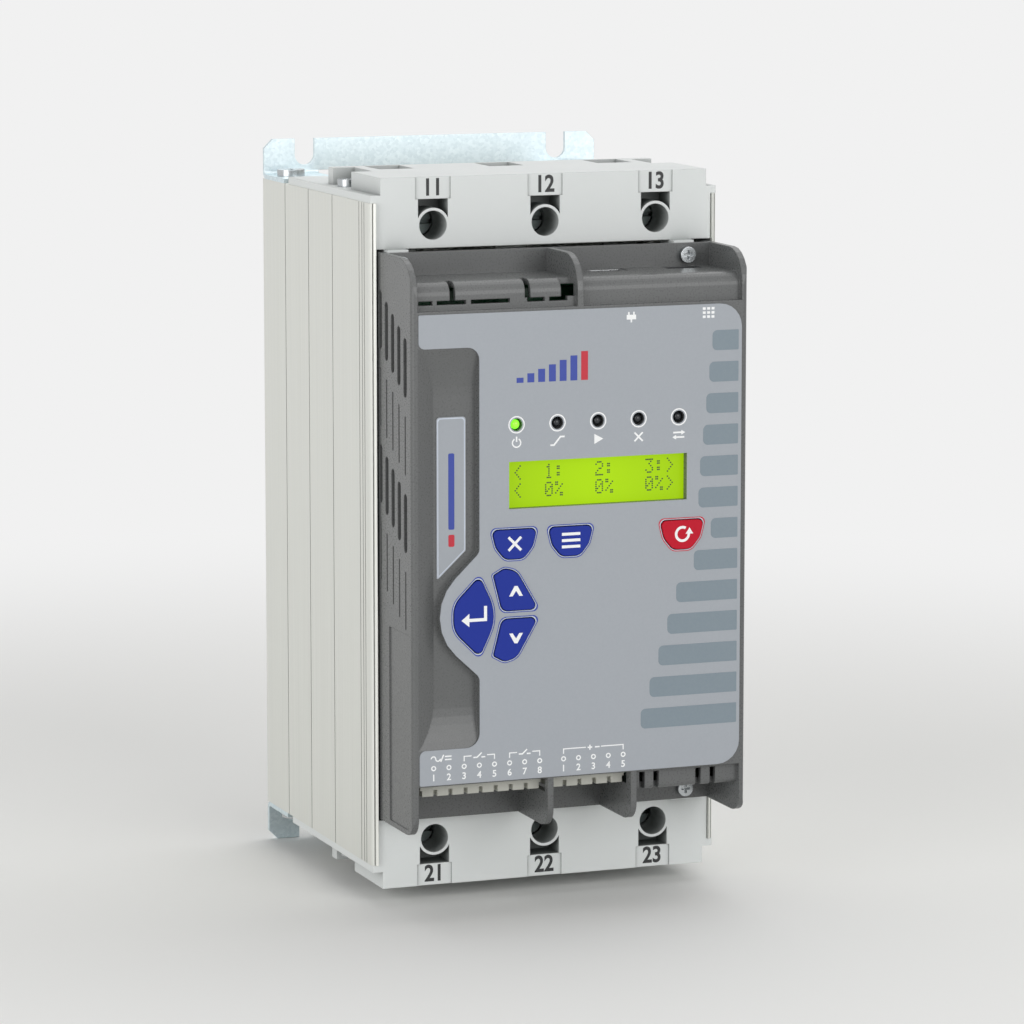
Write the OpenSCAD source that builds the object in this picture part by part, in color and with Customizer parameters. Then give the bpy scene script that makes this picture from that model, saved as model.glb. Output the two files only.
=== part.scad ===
// Three-phase soft starter: an extruded heat sink carries the power parts, with a
// terminal housing at each end and a moulded front cover with display and keypad.
// X points right seen from the front, Y points to the wall and Z points up.
// The origin is the middle of the mounting plane. Depths are measured from that
// plane towards the front, so a depth d lies at y = -d. All sizes are millimetres.

/* [Heat sink] */
// Width across the side walls
sink_w = 118.4; // [116:0.2:124]
// Length of the extrusion from end to end
sink_h = 212; // [208:1:236]
// Depth of the side walls
sink_d = 109.6; // [106:0.2:111]
// Thickness of the side walls
sink_wall = 2; // [1.6:0.1:2.4]
// Radius of the rounded front edges of the walls
sink_edge_r = 3.5; // [2.5:0.1:5]
// Length of the cooling fins
fin_l = 48; // [44:0.5:49]
// Thickness of a cooling fin
fin_t = 1.8; // [1.2:0.1:2.4]
// Number of fins, with one on the centre line
fin_count = 13; // [9:2:17]
// Thickness of the base that joins fins and walls
web_t = 9; // [7:0.5:10]
// Depth of the grooves along the outside of the walls
groove = 0.7; // [0.3:0.1:1]
// Width of the grooves
groove_w = 0.5; // [0.4:0.05:0.8]
// Spacing of the three wide-set grooves
groove_pitch = 24.2; // [20:0.2:26]
// Outer radius of the screw channels
boss_r = 3.5; // [3:0.1:4]
// Bore of the screw channels
boss_bore = 3.4; // [3.3:0.1:3.8]

/* [Mounting brackets] */
// Thickness of the bracket sheet
sheet_t = 1.5; // [1:0.1:2]
// Inside radius of the fold
sheet_bend_r = 1; // [0.5:0.1:2]
// Height of the tab beyond the end of the heat sink
tab_h = 13.1; // [11:0.1:16]
// Chamfer on the outer corners of the tab
tab_chamfer = 3; // [1:0.2:5]
// Distance between the two mounting slots
slot_spacing = 90; // [80:1:96]
// Width of a mounting slot
slot_w = 7; // [5:0.1:8]
// Depth of a mounting slot from the edge of the tab
slot_l = 8.8; // [6:0.1:9.5]
// Depth of the feet on the end of the heat sink
foot_d = 22; // [18:0.5:24]
// Width of each foot
foot_w = 19; // [15:0.5:24]
// Distance of the foot screws from the mounting plane
foot_screw_d = 11; // [9:0.5:13]
// Distance of all heat-sink screws from the outside of the side walls
sink_screw_in = 6.2; // [5.8:0.1:6.8]

/* [Terminal housings] */
// Depth of the front face
house_d = 108; // [106:0.2:110]
// Length of the part that sits between the heat-sink walls
house_inset = 14.6; // [14:0.1:16]
// Rise of the raised box above the end of the heat sink
house_rise = 7.85; // [7:0.05:10]
// Side step between the lower block and the raised box
house_step = 1.6; // [1:0.1:2]
// Wall thickness of the moulding
house_wall = 1.8; // [1.4:0.1:2.2]
// Clearance between the housing and the heat sink
house_gap = 0.2; // [0.1:0.05:0.4]
// Thickness of the flange that lies on the heat sink
flange_t = 2.4; // [2:0.1:3]
// Depth at which the flange arms start
flange_back = 26; // [24.5:0.5:32]
// Width of the flange arms
flange_arm_w = 13; // [12:0.5:16]
// Distance of the outer poles from the inside of the heat-sink walls
pole_edge = 19.35; // [18.8:0.05:20.5]
// Diameter of the screwdriver holes
driver_hole_d = 9.2; // [8.8:0.1:9.8]
// Distance of the screwdriver holes from the inner edge of the housing
driver_hole_in = 7.15; // [7:0.05:8]
// Wall of the tube around a screwdriver hole
tube_wall = 0.9; // [0.6:0.1:1.2]
// Width of the pocket beside a screwdriver hole
pocket_w = 10; // [9:0.2:11]
// Reach of the pocket from the centre of the hole
pocket_reach = 8.3; // [7.5:0.1:8.8]
// Depth of the pocket
pocket_d = 9; // [6:0.5:11]
// Width of the recessed label field
label_w = 11.8; // [10:0.2:14]
// Depth of the recessed label field
label_d = 0.4; // [0.2:0.1:0.8]
// Width of a cable entry
entry_w = 12; // [10:0.2:13]
// Depth of a cable entry, front to back
entry_d = 14.5; // [12:0.1:15]
// Depth position of the flange screws
flange_screw_d = 70; // [68:0.5:72]
// Length of the side recess around a flange screw
screw_bay_l = 18; // [14:0.5:20]

/* [Clamps] */
// Width of a clamp cage
cage_w = 16; // [15:0.2:17]
// Height of a clamp cage along the cable
cage_h = 12; // [10:0.2:13]
// Wall of a clamp cage
cage_wall = 1.8; // [1.4:0.1:2]
// Threaded wall of a clamp cage
nut_t = 4; // [3:0.1:5]
// Clearance between the cage and what is around it
cage_gap = 0.4; // [0.3:0.05:0.6]
// Travel of the cage from open to closed
cage_travel = 8; // [6:0.1:9]
// Diameter of the clamp screw
clamp_d = 5.8; // [5:0.1:6.2]
// Diameter of the clamp screw head
clamp_head_d = 8.4; // [7.5:0.1:8.6]
// Height of the clamp screw head
clamp_head_h = 4; // [3:0.1:5]
// Width of the screwdriver slot
clamp_slot_w = 1.4; // [1:0.1:2]

/* [Power parts] */
// Width of a busbar
bar_w = 11; // [9:0.1:11.4]
// Thickness of a busbar
bar_t = 2.5; // [2:0.1:3]
// Overlap of a busbar on its module pad
bar_lap = 16; // [14:0.5:20]
// Length of a thyristor module
module_h = 92; // [80:1:100]
// Width of a thyristor module
module_w = 22; // [20:0.2:22.6]
// Length of a bypass relay
relay_h = 46; // [40:1:50]
// Width of a bypass relay
relay_w = 28; // [22:0.5:32]
// Height of a current transformer along the busbar
sensor_h = 12; // [10:0.5:14]
// Width of a current transformer
sensor_w = 22; // [20:0.5:22.5]
// Thickness of the circuit boards
board_t = 1.6; // [1.2:0.1:2]

/* [Front cover] */
// Depth of the front face
cover_d = 140; // [138:0.2:146]
// Depth at which the bays' back walls start
cover_back = 111.5; // [111.2:0.1:113]
// Reach of the side walls behind the bays' back walls
flap_lap = 8; // [6:0.5:9]
// Side step between the housing and the cover walls
cover_step = 0.7; // [0.4:0.1:1.2]
// Gap between the cover and the terminal housings
cover_gap = 0.7; // [0.5:0.1:1.5]
// Thickness of the side walls and ribs
wall_t = 2; // [1.6:0.1:2.4]
// Thickness of the front panel
panel_t = 2.5; // [2:0.1:3]
// Height of the open bays above and below the panel
bay_h = 16; // [15:0.1:17]
// Rise of the upper bar behind the panel's edge
bar_rise = 8.7; // [8:0.1:9]
// Drop of the lower bar behind the panel's edge
lower_bar_drop = 6.5; // [6:0.1:7]
// Rounding of the upper bar's front edge
bar_edge_r = 4; // [2:0.2:5]
// Step from the panel's face back to the bars
bar_step = 2; // [1:0.1:3]
// Radius of the upper front corner of walls and ribs
flap_r = 11; // [8:0.5:13]
// Radius of the lower front corner of walls and ribs
tip_r = 6; // [4:0.5:8]
// Rounding of the outer front edges
cover_edge_r = 1.6; // [0.8:0.1:1.8]
// Position of the rib in the upper bay
rib_x = -0.4; // [-3:0.1:3]
// Distance of the right cover screws from the inside of the cover's wall
cover_screw_side = 8.2; // [7.5:0.1:9.5]
// Distance of the left cover screws from the inside of the cover's wall
cover_screw_left = 3.7; // [3.7:0.1:4.4]
// Distance of the cover screws from the ends of the cover
cover_screw_in = 3.65; // [3.6:0.05:4]
// Depth of the recess beside the keypad film
recess_d = 3; // [2:0.1:3.4]
// Right edge of the recess
recess_x = -34.3; // [-36:0.1:-34]
// Width of the ramp on the left of the recess
recess_ramp = 6; // [4:0.1:7]
// Length of the scooped ends of the recess
recess_scoop = 15; // [10:0.5:18]
// Distance between neighbouring ventilation slots
vent_pitch = 5.8; // [5.2:0.1:5.9]
// Width of a ventilation slot
vent_w = 3; // [2:0.1:3.2]
// Length of a ventilation slot
vent_l = 18.5; // [14:0.5:20]
// Drop from one ventilation slot to the next
vent_drop = 3.2; // [2:0.1:4]
// Distance between the groups of ventilation slots
vent_group = 24.4; // [23:0.2:26]
// Depth of the sunk panel on the outside of the side walls
flap_sink = 0.4; // [0.2:0.1:0.8]

/* [Keypad and display] */
// Thickness of the keypad film
film_t = 0.3; // [0.2:0.05:0.5]
// Margin of the film at the panel's upper edge
film_margin = 0.9; // [0.5:0.1:1.5]
// Margin of the film at the panel's lower edge
film_low = 0.4; // [0.2:0.1:1]
// Radius of the film's right-hand corners
film_r = 7.5; // [4:0.5:10]
// Clearance around a key
key_gap = 0.3; // [0.25:0.05:0.4]
// Rise of a key above the film
key_rise = 0.6; // [0.55:0.05:1]
// Travel of a key
key_travel = 0.5; // [0.3:0.05:0.5]
// Diameter of a key's stem
stem_d = 3; // [2.4:0.1:3.4]
// Width of a shield-shaped key
shield_w = 16.9; // [14:0.1:17.5]
// Height of a shield-shaped key
shield_h = 10.8; // [10:0.1:11.4]
// Width of the display window
window_w = 60.2; // [56:0.2:64]
// Height of the display window
window_h = 14.9; // [14:0.1:16]
// Diameter of the openings for the indicator lights
light_hole_d = 4; // [3.6:0.1:4.4]
// Distance between neighbouring indicator lights
light_pitch = 13.7; // [12:0.1:14]

/* [Control connections] */
// Pitch of the control terminals
terminal_pitch = 5.08; // [5:0.01:5.1]
// Height of a control terminal block
block_h = 14.6; // [13:0.1:16]
// Drop of the blocks below the panel's lower edge
block_drop = 4.2; // [3.5:0.1:4.5]
// Number of terminals in the relay block
relay_terminals = 8; // [6:1:8]
// Number of terminals in the input block
input_terminals = 5; // [3:1:5]
// Width of the keypad socket
socket_w = 12; // [11:0.2:14]
// Distance of the keypad socket from the inside of the cover's wall
socket_side = 11.5; // [10:0.5:14]
// Distance between the data port and the keypad socket
port_spacing = 26; // [20:0.5:28]
// Width of the data port
data_port_w = 12; // [10:0.2:13]

/* [Hidden] */
$fn = 48;
arc_steps = 6;
eps = 0.01;
cut = 1;
seat_gap = 0.3;
contact_gap = 0.2;

// Widths, measured from the centre plane
sink_half = sink_w / 2;
channel_half = sink_half - sink_wall;
house_half = channel_half - house_gap;
box_half = house_half - house_step;
flange_half = sink_half - 2 * house_gap;
cover_half = channel_half - cover_step;
panel_half = cover_half - wall_t;
sink_screw_x = sink_half - sink_screw_in;
cover_screw_xs = [-panel_half + cover_screw_left, panel_half - cover_screw_side];
pole_pitch = channel_half - pole_edge;

// Heights, measured from the middle of the unit
sink_end = sink_h / 2;
tab_end = sink_end + tab_h;
house_in = sink_end - house_inset;
house_out = sink_end + house_rise;
flange_out = sink_end + flange_t;
hole_z = house_in + driver_hole_in;
pocket_end = hole_z + pocket_reach;
cover_end = house_in - cover_gap;
panel_end = cover_end - bay_h;
bay_floor = panel_end + bar_rise;
lower_floor = panel_end + lower_bar_drop;
cover_screw_z = cover_end - cover_screw_in;

// Depths of the power parts, from the base of the heat sink forwards
bar_stand = 1.5;
sensor_reach = 8;
board_stand = 17;
web_d = fin_l + web_t;
house_back = web_d + house_gap;
chamber_back = house_back + house_wall;
entry_front = chamber_back + entry_d;
cage_back = chamber_back + cage_gap;
bar_back = entry_front + bar_stand;
bar_front = bar_back + bar_t;
nut_back = bar_front + cage_gap;
nut_front = nut_back + nut_t;
head_back = nut_front + cage_travel + cage_gap;
head_front = head_back + clamp_head_h;
tube_back = head_front + seat_gap;
sensor_back = bar_back - sensor_reach;
power_back = bar_front + board_stand;
power_front = power_back + board_t;

// Depths of the display parts, from the panel backwards
display_stand = 9.9;
connector_h = 3.4;
key_flange_t = 1.2;
switch_h = 3.5;
stem_seat = 0.6;
backing_t = 2;
flap_back = cover_back - flap_lap;
panel_back = cover_d - panel_t;
film_front = cover_d + film_t;
bar_face = cover_d - bar_step;
glass_t = 1.5;
glass_front = panel_back - contact_gap;
glass_back = glass_front - glass_t;
display_front = panel_back - display_stand;
display_back = display_front - board_t;
control_front = display_back - connector_h;
control_back = control_front - board_t;
key_front = film_front + key_rise;
key_flange_front = panel_back - seat_gap;
key_flange_back = key_flange_front - key_flange_t;
switch_front = display_front + switch_h;
stem_end = switch_front - key_travel - stem_seat;
block_front = cover_d - recess_d - backing_t - seat_gap;

// Places on the panel: side position, then height from the middle
window_at = [5.6, 19.35];
lights_at = [5.4, 38.4];
light_count = 5;
recess_top_in = 11.5;
recess_bottom_in = 11.6;
recess_top = panel_end - recess_top_in;
recess_bottom = -panel_end + recess_bottom_in;
keypad_z = -21.5;
bulge_x = -55.1;
bulge_up = 20.2;
bulge_down = 19.3;
bulge_top = keypad_z + bulge_up;
bulge_bottom = keypad_z - bulge_down;
bulge_r = 16.8;
ring_w = 0.8;
enter_outline = [[-34.2, 13.9], [-43.7, 4.5], [-43.7, -4.5], [-34.2, -13.9], [-27.6, 0]];
enter_radii = [1.8, 8, 8, 1.8, 14];
arrow_outline = [[-27.4, 0.6], [-13.6, 0.6], [-21.6, 14.3], [-26.2, 15.5], [-30.6, 13.1]];
arrow_radii = [2.6, 1.6, 5, 3, 1];
shield_outline = [
    [-shield_w / 2, shield_h / 2], [-shield_w * 0.4, -shield_h * 0.12],
    [-shield_w * 0.2, -shield_h / 2], [shield_w * 0.2, -shield_h / 2],
    [shield_w * 0.4, -shield_h * 0.12], [shield_w / 2, shield_h / 2]];
shield_radii = [1.8, 5, 3.5, 3.5, 5, 1.8];
back_key_at = [-22.8, 0.8];
menu_key_at = [-3.9, 0.8];
reset_key_at = [34, 0.8];
post_at = [[-44, 42], [44, 42], [44, -34], [-8, -34]];
post_d = 5;

// Control terminals from left to right: place of the first terminal, and number of terminals
block_side = 2.22;
block_gap = 0.7;
rib_gap = 0.3;
relay_block = [-panel_half + block_side + terminal_pitch / 2, relay_terminals];
lower_rib_1 = block_right(relay_block) + rib_gap;
input_block = [lower_rib_1 + wall_t + block_gap + terminal_pitch / 2, input_terminals];
lower_rib_2 = block_right(input_block) + rib_gap;
socket_x = panel_half - socket_side;
data_port_x = socket_x - port_spacing;
port_d = 6.4;
port_l = 15;
port_wall = 1;
mouth_l = 9;

// Slots and windows of the bars: from the left wall, from the lower rib and from the right wall
bar_slot_w = 1.9;
bar_slots = [12.2, 37.1];
bar_windows = [[0.9, 5.6], [7, 16.7], [18.3, 31.2], [36.9, 42.8], [44.3, 50.4]];
bar_hook = 5.9;
window_low = 1.8;
window_high = 3.1;
rib_slots = [4.6, 9.5];
wall_slots = [13.4, 8.4];

// Screws: head diameter, head height and shank diameter
washer_screw = [9.2, 2.2, boss_bore - 2 * contact_gap];
pan_screw = [7, 2.4, boss_bore - 2 * contact_gap];
cover_screw = [5.2, 2.2, 3];
busbar_screw = [9, 3.5, 4.8];
module_screw = [8, 3.2, 4.4];
cross_l = 0.55;
cross_w = 0.14;

sheet_colour = "#c6d2d6";
aluminium_colour = "#d0d1cb";
housing_colour = "#cdd2d1";
cover_colour = "#6b6d6e";
film_colour = "#a7acb4";
steel_colour = "#b9bcbe";
tinned_colour = "#b4b6b3";
blackened_colour = "#5b615f";
board_colour = "#2f6b45";
dark_colour = "#2b2d30";

POLES = [1, 2, 3];

function pole_x(i) = (i - 2) * pole_pitch;
function block_right(b) = b[0] + (b[1] - 0.5) * terminal_pitch;
function unit(v) = v / norm(v);
function wrap(a) = a > 180 ? a - 360 : a < -180 ? a + 360 : a;

// Points of an arc that rounds corner b between its neighbours a and c
function corner_arc(a, b, c, r) =
    r <= 0 ? [b] :
    let (u = unit(a - b), v = unit(c - b), half = acos(u * v) / 2,
         o = b + unit(u + v) * r / sin(half),
         p = b + u * r / tan(half) - o, q = b + v * r / tan(half) - o,
         start = atan2(p.y, p.x), sweep = wrap(atan2(q.y, q.x) - start))
    [for (k = [0:arc_steps])
        o + r * [cos(start + sweep * k / arc_steps), sin(start + sweep * k / arc_steps)]];

// An outline with one corner radius for each point
function rounded(pts, radii) =
    let (n = len(pts))
    [for (i = [0:n - 1])
        each corner_arc(pts[(i + n - 1) % n], pts[i], pts[(i + 1) % n], radii[i])];

// Outward unit normal of the edge from p to q on a counter-clockwise outline
function edge_normal(p, q) = [q.y - p.y, p.x - q.x] / norm(q - p);

// An outline with every edge moved outwards by d
function outset(pts, d) =
    let (n = len(pts))
    [for (i = [0:n - 1])
        let (m = edge_normal(pts[(i + n - 1) % n], pts[i]),
             k = edge_normal(pts[i], pts[(i + 1) % n]))
        pts[i] + (m + k) * d / (1 + m * k)];

function mirrored(pts) = [for (i = [len(pts) - 1:-1:0]) [pts[i].x, -pts[i].y]];
function moved(pts, v) = [for (p = pts) p + v];
function reversed(list) = [for (i = [len(list) - 1:-1:0]) list[i]];

// Extrude an x-z outline between two depths
module along_y(from, to) {
    translate([0, -from, 0]) rotate([90, 0, 0]) linear_extrude(to - from) children();
}

// Extrude a y-z outline between two side positions
module along_x(from, to) {
    translate([from, 0, 0]) rotate([90, 0, 90]) linear_extrude(to - from) children();
}

// Extrude an x-y outline between two heights
module along_z(from, to) {
    translate([0, 0, from]) linear_extrude(to - from) children();
}

// A block given by its side, depth and height limits
module block(x0, x1, d0, d1, z0, z1) {
    translate([x0, -d1, z0]) cube([x1 - x0, d1 - d0, z1 - z0]);
}

module both_sides() {
    children();
    mirror([1, 0, 0]) children();
}

module both_ends() {
    children();
    mirror([0, 0, 1]) children();
}

// A cylinder along the depth direction
module rod_y(x, z, d, from, to) {
    translate([x, -from, z]) rotate([90, 0, 0]) cylinder(d = d, h = to - from);
}

// A cylinder along the height direction
module rod_z(x, depth, d, from, to) {
    translate([x, -depth, from]) cylinder(d = d, h = to - from);
}

// A slot outline with round ends, upright on its own centre
module slot_outline(w, l) {
    square([w, l - w], center = true);
    for (s = [-1, 1]) translate([0, s * (l - w) / 2]) circle(d = w);
}

// Heat sink

module sink_wall_section() {
    straight = sink_d - sink_edge_r;
    translate([channel_half, -straight]) square([sink_wall, straight]);
    intersection() {
        translate([sink_half - sink_edge_r, -straight]) circle(r = sink_edge_r);
        translate([channel_half, -sink_d]) square([sink_wall, sink_edge_r + eps]);
    }
}

module sink_boss_section(depth) {
    translate([sink_screw_x, -depth]) circle(r = boss_r);
    translate([sink_screw_x, -depth - boss_r]) square([channel_half - sink_screw_x + eps, 2 * boss_r]);
}

module sink_groove_section(depth, size) {
    translate([sink_half, -depth]) square([2 * size, groove_w], center = true);
}

// A fine groove halfway round the rounded front edge
module sink_edge_groove(size) {
    translate([sink_half - sink_edge_r, sink_edge_r - sink_d])
        rotate(-45) translate([sink_edge_r, 0]) square([2 * size, groove_w], center = true);
}

module sink_section() {
    fin_pitch = 2 * channel_half / (fin_count + 1);
    fine_groove = groove / 2;
    fine_places = [11.3, 8.5, 6.4];
    difference() {
        union() {
            both_sides() {
                sink_wall_section();
                sink_boss_section(foot_screw_d);
                sink_boss_section(flange_screw_d);
            }
            translate([-sink_half + eps, -web_d]) square([sink_w - 2 * eps, web_t]);
            for (i = [1:fin_count])
                translate([-channel_half + i * fin_pitch - fin_t / 2, -fin_l - eps])
                    square([fin_t, fin_l + eps]);
        }
        both_sides() {
            for (i = [1:3]) sink_groove_section(i * groove_pitch - groove, groove);
            for (d = fine_places) sink_groove_section(sink_d - d, fine_groove);
            sink_edge_groove(fine_groove);
            translate([sink_screw_x, -foot_screw_d]) circle(d = boss_bore);
            translate([sink_screw_x, -flange_screw_d]) circle(d = boss_bore);
        }
    }
}

module heat_sink() {
    color(aluminium_colour) along_z(-sink_end, sink_end) sink_section();
}

// Mounting brackets

module bracket_foot_profile() {
    outer = sheet_bend_r + sheet_t;
    tip = [-foot_d, sink_end];
    polygon(concat(
        [tip],
        corner_arc(tip, [0, sink_end], [0, tab_end], outer),
        [[0, sink_end + outer + eps], [-sheet_t, sink_end + outer + eps]],
        corner_arc([-sheet_t, tab_end], [-sheet_t, sink_end + sheet_t], [-foot_d, sink_end + sheet_t],
                   sheet_bend_r),
        [[-foot_d, sink_end + sheet_t]]));
}

module bracket_tab_outline() {
    low = sink_end + sheet_bend_r + sheet_t;
    difference() {
        polygon([[-sink_half, low], [sink_half, low], [sink_half, tab_end - tab_chamfer],
                 [sink_half - tab_chamfer, tab_end], [-sink_half + tab_chamfer, tab_end],
                 [-sink_half, tab_end - tab_chamfer]]);
        both_sides() translate([slot_spacing / 2, tab_end]) slot_outline(slot_w, 2 * slot_l);
    }
}

module upper_bracket() {
    color(sheet_colour) difference() {
        union() {
            along_y(0, sheet_t) bracket_tab_outline();
            both_sides() along_x(sink_half - foot_w, sink_half) bracket_foot_profile();
        }
        both_sides() rod_z(sink_screw_x, foot_screw_d, boss_bore + contact_gap, sink_end - cut,
                           sink_end + sheet_t + cut);
    }
}

module lower_bracket() {
    mirror([0, 0, 1]) upper_bracket();
}

// The cross recess in the top of a screw head, around the origin
module cross_recess(screw) {
    for (a = [0, 90]) rotate(a) cube([screw[0] * cross_l, screw[0] * cross_w, screw[1]], center = true);
}

// A screw along Z whose head sits on the given height
module end_screw(screw, depth, seat) {
    difference() {
        union() {
            rod_z(sink_screw_x, depth, screw[0], seat, seat + screw[1]);
            rod_z(sink_screw_x, depth, screw[2], seat - house_inset, seat + eps);
        }
        translate([sink_screw_x, -depth, seat + screw[1]]) cross_recess(screw);
    }
}

module bracket_screws() {
    color(steel_colour) both_ends() both_sides() end_screw(washer_screw, foot_screw_d, sink_end + sheet_t);
}

module housing_screws() {
    color(steel_colour) both_ends() both_sides() end_screw(pan_screw, flange_screw_d, flange_out);
}

// Terminal housings

// Bosses that take the cover screws: half width, length, and the pilot hole's diameter and length
cover_boss = 3.5;
cover_boss_l = 11.5;
pilot_d = cover_screw[2] + contact_gap;
pilot_l = 10.5;

module housing_outer() {
    block(-house_half, house_half, house_back, house_d, house_in, flange_out);
    block(-flange_half, flange_half, house_back, house_d, sink_end, flange_out);
    both_sides()
        block(flange_half - flange_arm_w, flange_half, flange_back, house_back + eps, sink_end, flange_out);
    block(-box_half, box_half, house_back, house_d, sink_end, house_out);
    for (x = cover_screw_xs)
        block(x - cover_boss, x + cover_boss, cover_back - cover_boss_l, cover_back,
              cover_screw_z - cover_boss, house_in + eps);
}

module housing_pole_cuts() {
    half = cage_w / 2 + cage_gap;
    block(-half, half, chamber_back, tube_back, house_in - cut, house_out - house_wall);
    block(-entry_w / 2, entry_w / 2, chamber_back, entry_front, sink_end, house_out + cut);
    rod_y(0, hole_z, driver_hole_d, tube_back - cut, house_d + cut);
    difference() {
        block(-pocket_w / 2, pocket_w / 2, house_d - pocket_d, house_d + cut, hole_z, pocket_end);
        rod_y(0, hole_z, driver_hole_d + 2 * tube_wall, house_d - pocket_d - cut, house_d + 2 * cut);
    }
    block(-label_w / 2, label_w / 2, house_d - label_d, house_d + cut, pocket_end, house_out + cut);
}

module housing_side_cuts() {
    boss_in = sink_screw_x - boss_r - seat_gap;
    bay_front = flange_screw_d + screw_bay_l / 2 + cut;
    bay_back = flange_screw_d - screw_bay_l / 2 + cut;
    block(boss_in, house_half + cut, house_back - cut, flange_screw_d + boss_r + seat_gap,
          house_in - cut, sink_end);
    block(boss_in - cut, flange_half + cut, bay_back, bay_front, flange_out, house_out + cut);
    rod_z(sink_screw_x, flange_screw_d, boss_bore + contact_gap, sink_end - cut, flange_out + cut);
}

module line_terminal_housing() {
    color(housing_colour) difference() {
        housing_outer();
        for (i = POLES) translate([pole_x(i), 0, 0]) housing_pole_cuts();
        both_sides() housing_side_cuts();
        for (x = cover_screw_xs) rod_y(x, cover_screw_z, pilot_d, cover_back - pilot_l, cover_back + cut);
    }
}

module load_terminal_housing() {
    mirror([0, 0, 1]) line_terminal_housing();
}

// Clamps: the screw turns in place and draws the cage forwards along it

module clamp_cage() {
    thread_gap = 0.06;
    color(steel_colour) difference() {
        block(-cage_w / 2, cage_w / 2, cage_back, nut_front, hole_z - cage_h / 2, hole_z + cage_h / 2);
        block(-cage_w / 2 + cage_wall, cage_w / 2 - cage_wall, cage_back + cage_wall, nut_back,
              hole_z - cage_h / 2 - cut, hole_z + cage_h / 2 + cut);
        rod_y(0, hole_z, clamp_d + 2 * thread_gap, nut_back - cut, nut_front + cut);
    }
}

module clamp_screw() {
    color(blackened_colour) difference() {
        union() {
            rod_y(0, hole_z, clamp_d, bar_front + contact_gap, head_back + eps);
            rod_y(0, hole_z, clamp_head_d, head_back, head_front);
        }
        block(-clamp_head_d, clamp_head_d, head_front - clamp_head_h / 2, head_front + cut,
              hole_z - clamp_slot_w / 2, hole_z + clamp_slot_w / 2);
    }
}

// Power parts

pad_in = 14;
pad_lip = 1;
pad_h = bar_lap + 2 * pad_lip;
pad_t = 3;
bar_in = pad_in + pad_lip;
bar_screw_z = bar_in + bar_lap / 2;
bar_screw_l = 6;
bar_past = 1.5;
base_t = 4;
ear = 9;
module_r = 3;
ear_z = module_h / 2 - ear / 2;

module busbar() {
    color(tinned_colour) difference() {
        block(-bar_w / 2, bar_w / 2, bar_back, bar_front, bar_in, hole_z + cage_h / 2 + bar_past);
        rod_y(0, bar_screw_z, busbar_screw[2] + 2 * seat_gap, bar_back - cut, bar_front + cut);
    }
}

module busbar_screws() {
    color(steel_colour) both_ends() for (i = POLES) translate([pole_x(i), 0, 0]) {
        rod_y(0, bar_screw_z, busbar_screw[0], bar_front, bar_front + busbar_screw[1]);
        rod_y(0, bar_screw_z, busbar_screw[2], bar_back - bar_screw_l, bar_front + eps);
    }
}

// An upright rectangle around the origin with rounded corners
module rounded_plate(w, h, r) {
    polygon(rounded([[-w / 2, -h / 2], [w / 2, -h / 2], [w / 2, h / 2], [-w / 2, h / 2]], [r, r, r, r]));
}

module thyristor_module() {
    case_half = module_h / 2 - ear;
    color(dark_colour) difference() {
        union() {
            along_y(web_d, web_d + base_t) rounded_plate(module_w, module_h, module_r);
            block(-module_w / 2, module_w / 2, web_d + base_t - eps, bar_back - pad_t, -case_half, case_half);
            both_ends()
                block(-bar_w / 2, bar_w / 2, bar_back - pad_t - eps, bar_back, pad_in, pad_in + pad_h);
        }
        both_ends() {
            rod_y(0, ear_z, module_screw[2] + contact_gap, web_d - cut, web_d + base_t + cut);
            rod_y(0, bar_screw_z, busbar_screw[2] + contact_gap, bar_back - bar_screw_l - cut,
                  bar_back + cut);
        }
    }
}

module module_screws() {
    seat = web_d + base_t;
    color(steel_colour) both_ends() for (i = POLES) {
        rod_y(pole_x(i), ear_z, module_screw[0], seat, seat + module_screw[1]);
        rod_y(pole_x(i), ear_z, module_screw[2], web_d, seat + eps);
    }
}

module current_transformer() {
    sensor_r = 5;
    sensor_lift = 2;
    z = -(house_in + module_h / 2) / 2 + sensor_lift;
    color(dark_colour) difference() {
        along_z(z - sensor_h / 2, z + sensor_h / 2)
            polygon(rounded([[-sensor_w / 2, -power_back], [sensor_w / 2, -power_back],
                             [sensor_w / 2, -sensor_back], [-sensor_w / 2, -sensor_back]],
                            [0, 0, sensor_r, sensor_r]));
        block(-bar_w / 2 - seat_gap, bar_w / 2 + seat_gap, bar_back - seat_gap, bar_front + seat_gap,
              z - sensor_h, z + sensor_h);
    }
}

module bypass_relay() {
    relay_gap = 5.5;
    relay_r = 1.5;
    color(dark_colour) along_y(power_front, control_back - relay_gap)
        rounded_plate(relay_w, relay_h, relay_r);
}

// Boards: margins to the cover, and the spacers' places from the ends of the power board
board_side = 5;
board_half = panel_half - board_side;
power_end = cover_screw_z - cover_boss - cut;
control_end = bay_floor - 2 * wall_t;
spacer_d = 5;
spacer_side = 0.5;
spacer_x = board_half - spacer_d / 2 - spacer_side;
spacer_power_in = 3.5;
spacer_control_in = 24;
spacer_power_z = power_end - spacer_power_in;
spacer_control_z = power_end - spacer_control_in;

module power_board() {
    capacitor_d = 12;
    capacitor_gap = 7;
    coil_gap = 8;
    coil_h = 16;
    color(board_colour) {
        block(-board_half, board_half, power_back, power_front, -power_end, power_end);
        for (s = [-1, 0, 1])
            rod_y(s * pole_pitch / 2, -relay_h / 2 - capacitor_d, capacitor_d, power_front - eps,
                  control_back - capacitor_gap);
        block(-pole_pitch / 2, pole_pitch / 2, power_front - eps, control_back - coil_gap - cut,
              relay_h / 2 + coil_gap, relay_h / 2 + coil_gap + coil_h);
    }
}

module board_spacers() {
    color(steel_colour) both_ends() both_sides() {
        rod_y(spacer_x, spacer_power_z, spacer_d, web_d, power_back);
        rod_y(spacer_x, spacer_control_z, spacer_d, power_front, control_back);
    }
}

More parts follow.
